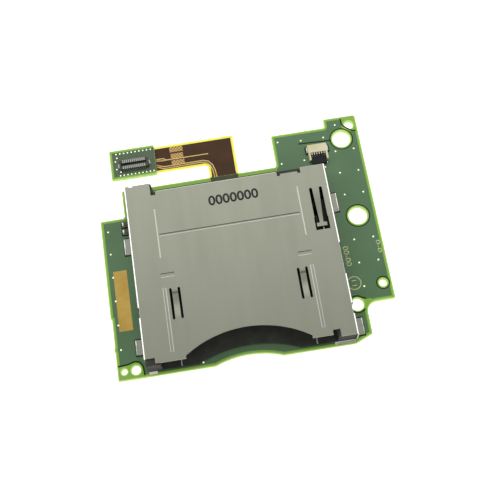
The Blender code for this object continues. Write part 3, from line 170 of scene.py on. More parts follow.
class PlasticLook(bpy.types.PropertyGroup):
    """Sizes and colours of the moulded pieces and chips."""
    edge: length_property("Moulded edge", 0.05, "Rounding of a moulded edge")
    base: tint_property("Base", "3C3C38", "Black liquid crystal polymer")
    slider: tint_property("Slider", "120E0D", "Dark brown acetal")
    lock: tint_property("Lock housing", "E2DDB6", "Cream nylon")
    lever: tint_property("Lever", "0D0D0F", "Black lever")
    link: tint_property("Link body", "3C443C", "Dark body of the board-to-board connector")
    chip: tint_property("Chip", "50533F", "Brown ceramic of a chip capacitor")


class StageLook(bpy.types.PropertyGroup):
    """Light table, lights and camera."""
    floor: tint_property("Floor", "FDFDFB", "Light table")
    glow: FloatProperty(name="Table glow", description="Light that the table gives off", default=0.9)
    sky: FloatProperty(name="Soft light", description="Strength of the light all round", default=0.56)
    key: FloatProperty(name="Key light", description="Power of the large light", subtype="POWER",
                       default=0.16)
    distance: length_property("Light distance", 260.0, "From the part to the large light")


def add_node(tree, kind, links=None, **settings):
    """Add a node, set its sockets or attributes, and link named sockets from (node, output) pairs."""
    node = tree.nodes.new(kind)
    for key, value in settings.items():
        if hasattr(node, key):
            setattr(node, key, value)
        else:
            node.inputs[key.replace("_", " ")].default_value = value
    for socket, (source, output) in (links or {}).items():
        tree.links.new(source.outputs[output], node.inputs[socket])
    return node


def new_material(name, base, **sockets):
    """Principled material; sockets that are the same all over are set on the shader itself."""
    made = bpy.data.materials.new(name)
    made.use_nodes = True
    tree = made.node_tree
    shader = tree.nodes["Principled BSDF"]
    shader.inputs["Base Color"].default_value = base
    for key, value in sockets.items():
        shader.inputs[key.replace("_", " ")].default_value = value
    return made, tree, shader


def lit_through(shader, tint, strength):
    """Light of the table that comes through a piece, or up from the table itself."""
    shader.inputs["Emission Color"].default_value = tint
    shader.inputs["Emission Strength"].default_value = strength


def object_scale(tree, scale):
    """Object coordinates stretched by a scale for each axis."""
    place = add_node(tree, "ShaderNodeTexCoord")
    return add_node(tree, "ShaderNodeMapping", {"Vector": (place, "Object")}, Scale=scale)


def tone_by_noise(tree, shader, near, far, size_mm, stretch=(1.0, 1.0, 1.0), detail=3.0):
    """Base colour that drifts between two tones over patches of a real size."""
    scale = tuple(axis / (size_mm * MM) for axis in stretch)
    place = object_scale(tree, scale)
    noise = add_node(tree, "ShaderNodeTexNoise", {"Vector": (place, "Vector")}, Scale=1.0, Detail=detail)
    ramp = add_node(tree, "ShaderNodeValToRGB", {"Fac": (noise, "Fac")})
    ramp.color_ramp.elements[0].position = 0.35
    ramp.color_ramp.elements[1].position = 0.68
    ramp.color_ramp.elements[0].color = near
    ramp.color_ramp.elements[1].color = far
    tree.links.new(ramp.outputs["Color"], shader.inputs["Base Color"])
    return noise


def grain(tree, shader, size_mm, depth_mm, stretch=(1.0, 1.0, 1.0), strength=0.5):
    """Bump from noise of a real grain size and depth."""
    scale = tuple(axis / (size_mm * MM) for axis in stretch)
    place = object_scale(tree, scale)
    noise = add_node(tree, "ShaderNodeTexNoise", {"Vector": (place, "Vector")}, Scale=1.0, Detail=2.0)
    bump = add_node(tree, "ShaderNodeBump", {"Height": (noise, "Fac")}, Strength=strength,
                    Distance=depth_mm * MM)
    tree.links.new(bump.outputs["Normal"], shader.inputs["Normal"])


def glass_epoxy(look):
    """Woven glass laminate, lit through from below: lime, a little cloudy along the weave."""
    made, tree, shader = new_material("glass_epoxy", look.laminate, Roughness=0.45, IOR=1.55)
    lit_through(shader, look.laminate, 0.16)
    tone_by_noise(tree, shader, look.laminate, colour("AACC62"), 1.2)
    grain(tree, shader, 0.25, 0.004)
    return made


def thin_mask(look):
    """Green mask on laminate that no copper backs: light from below makes it a strong yellow-green."""
    made, tree, shader = new_material("thin_mask", look.thin, Roughness=0.45, Specular_IOR_Level=0.2)
    lit_through(shader, look.thin, 0.12)
    tone_by_noise(tree, shader, look.thin, colour("80B83A"), 8.0)
    return made


def solder_mask(name, near, far, size_mm):
    """Liquid photo-imaged mask over copper: smooth, half gloss, with a slow drift of tone."""
    made, tree, shader = new_material(name, near, Roughness=0.42, IOR=1.5, Coat_Weight=0.25,
                                      Coat_Roughness=0.25)
    tone_by_noise(tree, shader, near, far, size_mm)
    grain(tree, shader, 0.35, 0.003)
    return made


def shaded_plane_gap(look):
    """Mask over a cut in the copper plane: nearly matt, painted darker as the shade in its narrow groove."""
    made, tree, shader = new_material("shaded_plane_gap", look.gap, Roughness=0.5, Specular_IOR_Level=0.12)
    tone_by_noise(tree, shader, look.gap, colour("263F12"), 2.0)
    return made


def film_root_shade():
    """Painted shade where the film enters the board, just behind the shell: dull olive."""
    made, tree, shader = new_material("film_root_shade", colour("4A5038"), Roughness=0.6, Specular_IOR_Level=0.2)
    tone_by_noise(tree, shader, colour("4A5038"), colour("565A42"), 1.5)
    return made


def immersion_gold(look):
    """Electroless nickel with immersion gold: satin, very finely pebbled."""
    made, tree, shader = new_material("immersion_gold", look.gold, Metallic=1.0, Roughness=0.42)
    tone_by_noise(tree, shader, look.gold, colour("B2934E"), 2.5)
    grain(tree, shader, 0.12, 0.002)
    return made


def film_edge(look):
    """Clear yellow polyimide beyond the copper, lit through."""
    made, tree, shader = new_material("polyimide_edge", look.film, Roughness=0.3, IOR=1.7)
    lit_through(shader, look.film, 0.3)
    tone_by_noise(tree, shader, look.film, colour("E0D02C"), 1.5)
    return made


def coverlay(look):
    """Brown coverlay pressed over rolled copper: half gloss, with a slight orange-peel."""
    made, tree, shader = new_material("coverlay", look.cover, Roughness=0.42, Specular_IOR_Level=0.2)
    tone_by_noise(tree, shader, look.cover, colour("4C3218"), 4.0)
    grain(tree, shader, 0.6, 0.006)
    return made


def film_copper(look):
    """Copper seen through amber film: soft bronze gloss."""
    made, tree, shader = new_material("film_copper", look.trace, Metallic=0.6, Roughness=0.42)
    tone_by_noise(tree, shader, look.trace, colour("BC9C5C"), 0.7)
    return made


def hatched_copper(look):
    """Cross-hatched shield copper under clear amber film: bright squares on a darker ground.

    The hatch is drawn as coarse as it needs to be to show.
    """
    made, tree, shader = new_material("hatched_copper", look.trace, Metallic=0.5, Roughness=0.4)
    pitch = 0.34 * MM
    place = object_scale(tree, (1 / pitch, 1 / pitch, 0.0))
    check = add_node(tree, "ShaderNodeTexChecker", {"Vector": (place, "Vector")}, Scale=1.0,
                     Color1=colour("C6A468"), Color2=colour("8A6A3C"))
    tree.links.new(check.outputs["Color"], shader.inputs["Base Color"])
    return made


def via_light(look):
    """Light that comes up through a plated hole."""
    made, tree, shader = new_material("via_light", look.via_glow, Roughness=0.5)
    lit_through(shader, look.via_glow, 0.8)
    tone_by_noise(tree, shader, look.via_glow, colour("DCEFB8"), 0.3)
    return made


def legend_ink(look):
    """Screen printed epoxy legend: matt, pale yellow-green, a little cloudy."""
    made, tree, shader = new_material("legend_ink", look.legend, Roughness=0.65)
    tone_by_noise(tree, shader, look.legend, colour("B4BC84"), 0.35)
    return made


def rolled_steel(look):
    """Cold rolled stainless sheet: satin, with fine streaks along the rolling direction."""
    made, tree, shader = new_material("rolled_steel", look.steel, Metallic=1.0, Roughness=0.4)
    streaks = tone_by_noise(tree, shader, look.steel, look.steel_far, 9.0, (3.0, 0.5, 1.0), 4.0)
    rough = add_node(tree, "ShaderNodeMapRange", {"Value": (streaks, "Fac")}, To_Min=0.4, To_Max=0.45)
    tree.links.new(rough.outputs["Result"], shader.inputs["Roughness"])
    grain(tree, shader, 0.5, 0.0016, (5.0, 0.25, 1.0), 0.45)
    return made


def tinted_steel(name, tint, roughness):
    """One tint of metal, finely grained: painted highlights and shade on the shell, and plain plating."""
    made, tree, shader = new_material(name, tint, Metallic=1.0, Roughness=roughness)
    grain(tree, shader, 0.3, 0.001, (1.0, 0.3, 1.0), 0.3)
    return made


def drawn_wire(look):
    """Drawn spring wire: bright, with faint die lines."""
    made, tree, shader = new_material("drawn_wire", look.wire, Metallic=1.0, Roughness=0.28)
    tone_by_noise(tree, shader, look.wire, colour("8E8E8C"), 0.8)
    return made


def tin_solder(look):
    """Reflowed tin: bright, gently lumpy, clouded in patches."""
    made, tree, shader = new_material("tin_solder", look.tin, Metallic=1.0, Roughness=0.3)
    tone_by_noise(tree, shader, look.tin, colour("ABAD9E"), 0.7)
    grain(tree, shader, 0.45, 0.03)
    return made


def gold_flash(look):
    """Gold flash over a copper alloy spring: bright yellow satin."""
    made, tree, shader = new_material("gold_flash", look.plate, Metallic=1.0, Roughness=0.3)
    tone_by_noise(tree, shader, look.plate, colour("DDB866"), 0.8)
    return made


def pale_plate(look):
    """Thin gold over nickel on fine contacts: nearly silver."""
    made, tree, shader = new_material("pale_plate", look.pale, Metallic=1.0, Roughness=0.3)
    tone_by_noise(tree, shader, look.pale, colour("A29E8E"), 0.5)
    return made


def moulded(name, near, far, roughness, grain_mm, gloss=0.22):
    """Injection moulded plastic: even colour with a fine spark-eroded grain."""
    made, tree, shader = new_material(name, near, Roughness=roughness, Specular_IOR_Level=gloss)
    tone_by_noise(tree, shader, near, far, 3.0)
    grain(tree, shader, grain_mm, 0.006)
    return made


def print_ink(look):
    """Ink of the printed figures: matt black with a fine drift of tone."""
    made, tree, shader = new_material("print_ink", look.ink, Roughness=0.6)
    tone_by_noise(tree, shader, look.ink, colour("22201C"), 0.25)
    return made


def start_alone():
    """Leave edit mode and deselect everything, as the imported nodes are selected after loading."""
    if bpy.context.object and bpy.context.object.mode != "OBJECT":
        bpy.ops.object.mode_set(mode="OBJECT")
    bpy.ops.object.select_all(action="DESELECT")


def pick(item):
    start_alone()
    item.select_set(True)
    bpy.context.view_layer.objects.active = item


def settle(item, name, finish, body=ROOT):
    """Apply the piece's place, name it, give it its finish and let it ride on its body."""
    pick(item)
    bpy.ops.object.transform_apply(location=True, rotation=True, scale=True)
    item.name = name
    item.data.name = name
    if finish is not None:
        item.data.materials.clear()
        item.data.materials.append(finish)
    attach(item, body)
    return item


def apply_bevel(item, width, segments=2, angle=35.0):
    """Round the sharp edges and smooth the rest."""
    pick(item)
    bevel = item.modifiers.new("edge", "BEVEL")
    bevel.width = width
    bevel.segments = segments
    bevel.limit_method = "ANGLE"
    bevel.angle_limit = math.radians(angle)
    bevel.use_clamp_overlap = True
    bpy.ops.object.modifier_apply(modifier=bevel.name)
    bpy.ops.object.shade_smooth_by_angle(angle=math.radians(angle))
    even = item.modifiers.new("even", "WEIGHTED_NORMAL")
    even.keep_sharp = True
    bpy.ops.object.modifier_apply(modifier=even.name)


def copy_node(node):
    """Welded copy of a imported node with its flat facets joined."""
    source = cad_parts[node]
    made = bpy.data.objects.new(node + "_copy", source.data.copy())
    bpy.context.scene.collection.objects.link(made)
    made.matrix_world = source.matrix_world
    pick(made)
    bpy.ops.object.mode_set(mode="EDIT")
    bpy.ops.mesh.select_all(action="SELECT")
    bpy.ops.mesh.remove_doubles(threshold=0.001 * MM)
    bpy.ops.mesh.dissolve_limited(angle_limit=math.radians(0.5))
    bpy.ops.object.mode_set(mode="OBJECT")
    return made


def dress(node, name, finish, width, body=ROOT, segments=2):
    """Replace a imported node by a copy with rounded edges."""
    made = settle(copy_node(node), name, finish, body)
    if width:
        apply_bevel(made, width, segments)
    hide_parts(node)
    return made


def pad(name, centre, size, bevel, finish, body=ROOT, segments=2):
    """Low block from a cube, with rounded edges: pads, solder lumps and squares of copper."""
    start_alone()
    bpy.ops.mesh.primitive_cube_add(size=1.0, location=centre)
    made = bpy.context.object
    made.scale = size
    settle(made, name, finish, body)
    apply_bevel(made, bevel, segments)
    return made


def disc(name, centre, radius, height, finish, sides=20):
    """Round plate with a rounded rim."""
    start_alone()
    bpy.ops.mesh.primitive_cylinder_add(vertices=sides, radius=radius, depth=height, location=centre)
    made = settle(bpy.context.object, name, finish, ROOT)
    apply_bevel(made, min(radius, height) * 0.3)
    return made


def annulus(name, centre, inner, outer, height, finish, sides=40):
    """Flat ring: a circle that is extruded outwards and given its height."""
    start_alone()
    bpy.ops.mesh.primitive_circle_add(vertices=sides, radius=inner, location=centre)
    made = bpy.context.object
    bpy.ops.object.mode_set(mode="EDIT")
    bpy.ops.mesh.select_all(action="SELECT")
    bpy.ops.mesh.extrude_edges_move()
    bpy.ops.transform.resize(value=(outer / inner, outer / inner, 1.0), center_override=centre)
    bpy.ops.mesh.select_all(action="SELECT")
    bpy.ops.mesh.normals_make_consistent(inside=False)
    bpy.ops.mesh.extrude_region_move(TRANSFORM_OT_translate={"value": (0.0, 0.0, height)})
    bpy.ops.mesh.select_all(action="SELECT")
    bpy.ops.mesh.normals_make_consistent(inside=False)
    bpy.ops.object.mode_set(mode="OBJECT")
    return settle(made, name, finish, ROOT)


def add_path(curve, places, closed):
    """Add a path with straight sides to a curve."""
    spline = curve.splines.new("POLY")
    spline.points.add(len(places) - 1)
    for point, place in zip(spline.points, places):
        point.co = (place[0], place[1], 0.0, 1.0)
    spline.use_cyclic_u = closed


def curve_to_piece(name, curve, level, stretch, finish):
    """Make a thick curve a mesh at its level, weld it and turn its faces outwards."""
    made = bpy.data.objects.new(name, curve)
    bpy.context.scene.collection.objects.link(made)
    pick(made)
    bpy.ops.object.convert(target="MESH")
    made = bpy.context.object
    made.scale = (1.0, 1.0, stretch)
    made.location.z = level
    settle(made, name, finish, ROOT)
    bpy.ops.object.mode_set(mode="EDIT")
    bpy.ops.mesh.select_all(action="SELECT")
    bpy.ops.mesh.remove_doubles(threshold=0.0005 * MM)
    bpy.ops.mesh.normals_make_consistent(inside=False)
    bpy.ops.object.mode_set(mode="OBJECT")
    return made


def ribbon(name, points, width, height, finish):
    """Flat trace along a path: a round bevelled curve that is converted and pressed flat."""
    curve = bpy.data.curves.new(name, "CURVE")
    curve.dimensions = "3D"
    curve.bevel_depth = width / 2
    curve.bevel_resolution = 2
    curve.use_fill_caps = True
    add_path(curve, points, False)
    made = curve_to_piece(name, curve, points[0].z, height / width * 2, finish)
    bpy.ops.object.shade_smooth_by_angle(angle=math.radians(50))
    return made


def join_pieces(name, pieces):
    """Join like pieces of one body into one object."""
    start_alone()
    for piece in pieces:
        piece.select_set(True)
    bpy.context.view_layer.objects.active = pieces[0]
    bpy.ops.object.join()
    pieces[0].name = name
    pieces[0].data.name = name
    return pieces[0]


def copies(item, moves):
    """The piece moved to its first place, and a copy with a mesh of its own at each other one."""
    made = [item]
    for move in moves[1:]:
        mesh = item.data.copy()
        mesh.transform(Matrix.Translation(move))
        copy = bpy.data.objects.new(item.name, mesh)
        bpy.context.scene.collection.objects.link(copy)
        made.append(copy)
    item.data.transform(Matrix.Translation(moves[0]))
    return made


def paint_faces(item, finish, test):
    """Give the faces that pass the test a second finish."""
    item.data.materials.append(finish)
    index = len(item.data.materials) - 1
    for face in item.data.polygons:
        if test(face.center, face.normal):
            face.material_index = index


def face_loops(item, level):
    """Closed outlines of the flat face at a level, each running with the face on its left."""
    mesh = item.data
    edges = {}
    for face in mesh.polygons:
        if abs(face.normal.z) > 0.99 and abs(face.center.z - level) < 0.01 * MM:
            ring = list(face.vertices)
            if face.normal.z < 0:
                ring.reverse()
            edges.update({pair: True for pair in zip(ring, ring[1:] + ring[:1])})
    after = {start: end for start, end in edges if (end, start) not in edges}
    loops = []
    while after:
        start = next(iter(after))
        loop = [start]
        while after[loop[-1]] != start:
            loop.append(after.pop(loop[-1]))
        after.pop(loop[-1])
        loops.append([mesh.vertices[index].co.xy for index in loop])
    return loops


def meeting(first, second):
    """Where two lines, each a place and a direction, cross; nearly straight on, it is the second's place."""
    turn = first[1].cross(second[1])
    if abs(turn) < 0.01:
        return second[0]
    share = (second[0] - first[0]).cross(second[1]) / turn
    return first[0] + first[1] * share


def drawn_in(loop, rim):
    """Outline whose sides are moved to their left by rim; sides that shrink to nothing are left out."""
    lines = []
    for start, end in zip(loop, loop[1:] + loop[:1]):
        along = (end - start).normalized()
        lines.append((start + Vector((-along.y, along.x)) * rim, along))
    while True:
        corners = [meeting(lines[k - 1], line) for k, line in enumerate(lines)]
        lengths = [(corners[(k + 1) % len(lines)] - corners[k]).dot(line[1]) for k, line in enumerate(lines)]
        shortest = lengths.index(min(lengths))
        if lengths[shortest] > -0.001 * MM or len(lines) < 4:
            return corners
        lines.pop(shortest)


def flat_plate(name, outline, low_z, height, finish):
    """Plate from a closed outline: a filled 2D curve with a thickness."""
    curve = bpy.data.curves.new(name, "CURVE")
    curve.dimensions = "2D"
    curve.fill_mode = "BOTH"
    curve.extrude = height / 2
    add_path(curve, outline, True)
    return curve_to_piece(name, curve, low_z + height / 2, 1.0, finish)


def cut_away(item, outline, low_z, high_z):
    """Cut an outline right through a layer."""
    cutter = flat_plate("cutter", outline, low_z, high_z - low_z, None)
    pick(item)
    cut = item.modifiers.new("cut", "BOOLEAN")
    cut.object = cutter
    cut.solver = "EXACT"
    bpy.ops.object.modifier_apply(modifier=cut.name)
    bpy.data.objects.remove(cutter, do_unlink=True)


def copper_layer(name, node, level, low_z, rim, height, finish):
    """Mask or coverlay on a copper plane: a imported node's flat face, drawn in from every edge and hole.

    Holes are cut one by one, as a drawn-in hole may reach over the drawn-in edge.
    """
    flat = copy_node(node)
    loops = [drawn_in(loop, rim) for loop in face_loops(flat, level)]
    bpy.data.objects.remove(flat, do_unlink=True)
    loops.sort(key=lambda loop: min(place.x for place in loop) - max(place.x for place in loop))
    outer, *holes = loops
    layer = flat_plate(name, outer, low_z, height, finish)
    for hole in holes:
        cut_away(layer, hole, low_z - height, low_z + 2 * height)
    return layer


# Plated holes of the main board: columns and single ones, in millimetres from its left and front edges
VIA_COLUMNS = ((53.33, 15.75, 2), (53.33, 30.45, 2), (49.53, 10.87, 7), (1.38, 6.0, 5))
VIA_PITCH = 4.9
VIA_SINGLES = ((38.16, 44.33), (42.93, 43.89), (47.64, 43.83), (50.52, 46.24), (38.17, 39.34), (42.89, 39.37),
               (47.37, 38.18), (46.83, 37.17), (1.35, 30.4), (16.62, 1.08), (53.33, 40.3))

# Screw and locating holes: middle and radius
HOLES = ((51.24, 42.89, 1.85), (51.24, 25.57, 1.85), (53.26, 11.0, 0.75))

# Laminate that no copper backs: the corner past the rear screw, the two small holes, the side hole
BARE_REAR = ((51.9, 49.0), (51.9, 46.2), (52.6, 45.3), (53.9, 44.35), (56.0, 44.35), (56.0, 49.0))
BARE_FRONT = ((-1.0, 2.85), (2.55, 3.0), (3.1, 3.2), (3.9, 3.35), (4.7, 3.05), (5.2, 2.3), (5.3, 1.5),
              (5.35, -1.0), (-1.0, -1.0))
BARE_SIDE = ((48.2, 8.55), (49.3, 8.3), (50.4, 8.3), (50.4, 6.4), (48.2, 6.4))

# Strips behind the shell, and between them the film's root, painted dark olive as shade
BARE_BEHIND = (((11.5, 36.5), (23.3, 36.5), (23.3, 39.5), (11.5, 39.5)),
               ((29.0, 36.5), (37.0, 36.5), (37.0, 39.5), (29.0, 39.5)))
FILM_ROOT = ((23.3, 36.5), (29.0, 36.5), (29.0, 38.8), (23.3, 38.8))

# Cut round the side hole, open towards the notch beside it
SIDE_HOLE = (47.5, 7.5)
SIDE_CUT_R = 1.66
SIDE_TURNS = range(48, 313, 12)
SIDE_CUT = ((49.4, 8.42),) + tuple(
    (SIDE_HOLE[0] + SIDE_CUT_R * math.cos(math.radians(turn)),
     SIDE_HOLE[1] + SIDE_CUT_R * math.sin(math.radians(turn))) for turn in SIDE_TURNS) + ((48.85, 6.3),)


def via_places():
    places = list(VIA_SINGLES)
    for u, v, count in VIA_COLUMNS:
        places += [(u, v + VIA_PITCH * k) for k in range(count)]
    return places


def raise_underside(item, top_of_bottom, height):
    """Lift a board copy's lower face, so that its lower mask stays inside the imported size."""
    pick(item)
    bpy.ops.object.mode_set(mode="EDIT")
    bpy.ops.mesh.select_all(action="DESELECT")
    bpy.ops.object.mode_set(mode="OBJECT")
    for vertex in item.data.vertices:
        vertex.select = vertex.co.z < top_of_bottom
    bpy.ops.object.mode_set(mode="EDIT")
    bpy.ops.transform.translate(value=(0.0, 0.0, height))
    bpy.ops.object.mode_set(mode="OBJECT")


def rigid_board(node, name, look, mask):
    """Laminate with mask on both faces, over a copper plane that stops short of the edge.

    Returns the upper mask over copper.
    """
    body = dress(node, name + "_laminate", glass_epoxy(look), 0.0)
    raise_underside(body, 0.1 * MM, look.layer)
    apply_bevel(body, 0.04 * MM)
    inner = look.rim + look.mask_rim
    copper_layer(name + "_mask_under", node, 0.0, 0.004 * MM, inner, look.layer, mask)
    copper_layer(name + "_thin_mask", node, BOARD_TOP, BOARD_TOP - 0.002 * MM, look.rim, look.layer / 2,
                 thin_mask(look))
    return copper_layer(name + "_mask_top", node, BOARD_TOP, BOARD_TOP - 0.001 * MM, inner, look.layer, mask)


def via_dots(name, places, size, look):
    """Bright dots on both faces where light comes through the plated holes."""
    height = look.layer + 0.006 * MM
    dot = disc("via", spot(0.0, 0.0), size / 2, height, via_light(look), 14)
    levels = (BOARD_TOP + height / 2, height / 2 + 0.002 * MM)
    moves = [Vector((u * MM, v * MM, level)) for u, v in places for level in levels]
    return join_pieces(name, copies(dot, moves))


class SLOT_OT_board(bpy.types.Operator):
    """Main board: lime laminate, copper planes under green mask, rings, gold pad and vias"""
    bl_idname = "card_slot.board"
    bl_label = "Main board"

    # Dark lines where the upper plane is cut, last a painted shadow behind the shell: rows of places from the
    # board's corner
    DARK_LINES = (((42.3, 43.23), (49.1, 42.92)), BARE_REAR[:5], BARE_FRONT[:8], SIDE_CUT,
            # Painted shadow of the shell's rear edge on the board
            ((11.6, 37.78), (36.9, 37.78)))
    LINE_W = 0.34
    # The lines stop short of the board's edges
    CUT_LIMITS = ((0.45, 54.55), (0.45, 47.45))
    # Gold pad: middle and size
    GOLD_PLACE = (2.8, 15.7)
    GOLD_SIZE = (2.67, 12.3)

    def execute(self, context):
        look = context.scene.slot_board
        mask = solder_mask("solder_mask", look.mask, look.mask_far, 9.0)
        top_mask = rigid_board("board", "board", look, mask)
        height = look.layer
        for patch in (BARE_REAR, BARE_FRONT, BARE_SIDE) + BARE_BEHIND:
            cut_away(top_mask, [spot(u, v) for u, v in patch], BOARD_TOP - 0.1 * MM, BOARD_TOP + 0.1 * MM)
        gap = shaded_plane_gap(look)
        # Painted shade: a dull olive plate over the film's root behind the shell
        flat_plate("board_film_root", [spot(u, v) for u, v in FILM_ROOT], BOARD_TOP - 0.001 * MM,
                   height + 0.002 * MM, film_root_shade())
        level = BOARD_TOP + height - 0.004 * MM
        # Plane cuts and the painted shadow line behind the shell, as flat dark ribbons
        lines = [ribbon("plane_cut", [spot(u, v, level) for u, v in self.inside(cut)], self.LINE_W * MM,
                        0.012 * MM, gap) for cut in self.DARK_LINES]
        for u, v, radius in HOLES:
            outer = radius * MM + look.rim + look.mask_rim + 0.02 * MM
            lines.append(annulus("hole_ring", spot(u, v, BOARD_TOP), radius * MM + look.ring, outer,
                                 height + 0.003 * MM, gap))
        join_pieces("plane_cuts_and_shell_shadow", lines)
        via_dots("board_vias", via_places(), look.via, look)
        width, depth = self.GOLD_SIZE
        pad("board_gold_pad", spot(*self.GOLD_PLACE, BOARD_TOP + height / 2),
            (width * MM, depth * MM, height + 0.004 * MM), 0.006 * MM, immersion_gold(look))
        return {"FINISHED"}

    def inside(self, cut):
        """The places of a cut, held inside the board's edges."""
        (left, right), (front, rear) = self.CUT_LIMITS
        return [(min(max(u, left), right), min(max(v, front), rear)) for u, v in cut]


class SLOT_OT_tail(bpy.types.Operator):
    """Flexible tail with its coverlay, shield windows and traces, and the connector board"""
    bl_idname = "card_slot.tail"
    bl_label = "Flexible tail"

    # Windows over the shield hatch: left, right, front, rear; and the strip of cover between two of them
    WINDOWS = ((15.75, 18.52, 45.86, 47.49), (15.87, 18.44, 44.31, 45.92), (15.88, 18.56, 42.83, 44.39))
    BETWEEN = 0.42
    # Each trace is a row of places from the board's corner
    TRACES = (
        ((12.8, 44.57), (14.3, 44.42), (14.9, 44.49), (23.6, 44.45)),
        ((12.8, 44.9), (14.2, 44.93), (14.9, 44.5)),
        ((12.8, 43.2), (14.1, 42.62), (22.1, 42.74), (23.0, 42.5), (23.65, 41.8), (24.05, 40.6),
         (24.24, 38.9)),
        ((12.8, 43.6), (14.2, 43.05), (22.3, 43.12), (23.4, 42.75), (24.15, 41.85), (24.5, 40.6),
         (24.7, 38.9)))
    TRACE_W = 0.22
    # Thickness of the coverlay, and of the copper that shows
    COVER = 0.014
    COPPER = 0.006
    # Rows of plated holes on the connector board: first place, spacing; and the four at its left end
    HOLE_ROWS = ((4.69, 47.36, 0.8), (5.13, 42.38, 0.775))
    HOLES_IN_ROW = 10
    END_HOLES = ((4.79, 46.47), (4.40, 45.70), (4.52, 43.90), (5.32, 43.19))

    def execute(self, context):
        look = context.scene.slot_board
        dress("flex_tail", "tail_film", film_edge(look), 0.0)
        low_z, top = low("flex_tail").z, high("flex_tail").z
        cover = coverlay(look)
        thick = self.COVER * MM
        for name, level, start in (("tail_cover_top", top, top - 0.001 * MM),
                                   ("tail_cover_under", low_z, low_z - thick)):
            copper_layer(name, "flex_tail", level, start, look.film_rim, thick, cover)
        level = top + thick
        hatch = hatched_copper(look)
        for k, (left, right, front, rear) in enumerate(self.WINDOWS):
            size = ((right - left) * MM, (rear - front - self.BETWEEN) * MM, self.COPPER * MM)
            pad("tail_window_%d" % (k + 1), spot((left + right) / 2, (front + rear) / 2, level), size,
                0.001 * MM, hatch)
        copper = film_copper(look)
        traces = [ribbon("trace", [spot(u, v, level + 0.002 * MM) for u, v in trace], self.TRACE_W * MM,
                         self.COPPER * MM, copper) for trace in self.TRACES]
        join_pieces("tail_traces", traces)
        dense = solder_mask("dense_mask", look.dense, colour("475C3E"), 2.0)
        self.reach_edge(rigid_board("connector_board", "tail_board", look, dense))
        places = [(u + pitch * k, v) for u, v, pitch in self.HOLE_ROWS for k in range(self.HOLES_IN_ROW)]
        via_dots("tail_board_vias", places + list(self.END_HOLES), look.via * 0.9, look)
        return {"FINISHED"}

    def reach_edge(self, mask):
        """Take the connector board's copper to its right edge, where it runs on into the film."""
        rim = max(vertex.co.x for vertex in mask.data.vertices) - 0.05 * MM
        edge = high("connector_board").x - 0.03 * MM
        for vertex in mask.data.vertices:
            if vertex.co.x > rim:
                vertex.co.x = edge


def printed_text(name, body, place, width, depth, angle, thick, finish, bold=0.0):
    """Plain text converted to mesh, fitted to a width and depth, turned and made as thick as ink."""
    start_alone()
    bpy.ops.object.text_add(location=(0.0, 0.0, 0.0))
    text = bpy.context.object
    text.data.body = body
    text.data.align_x = "CENTER"
    text.data.align_y = "CENTER"
    text.data.offset = bold
    bpy.ops.object.convert(target="MESH")
    text = bpy.context.object
    corners = [Vector(corner) for corner in text.bound_box]
    centre = (corners[0] + corners[6]) / 2
    span = corners[6] - corners[0]
    for vertex in text.data.vertices:
        vertex.co -= centre
    text.scale = (width / span.x, depth / span.y, 1.0)
    text.rotation_euler = Euler((0.0, 0.0, math.radians(angle)))
    text.location = place
    settle(text, name, finish, ROOT)
    bpy.ops.object.mode_set(mode="EDIT")
    bpy.ops.mesh.select_all(action="SELECT")
    bpy.ops.mesh.extrude_region_move(TRANSFORM_OT_translate={"value": (0.0, 0.0, thick)})
    bpy.ops.mesh.select_all(action="SELECT")
    bpy.ops.mesh.normals_make_consistent(inside=False)
    bpy.ops.object.mode_set(mode="OBJECT")
    return text


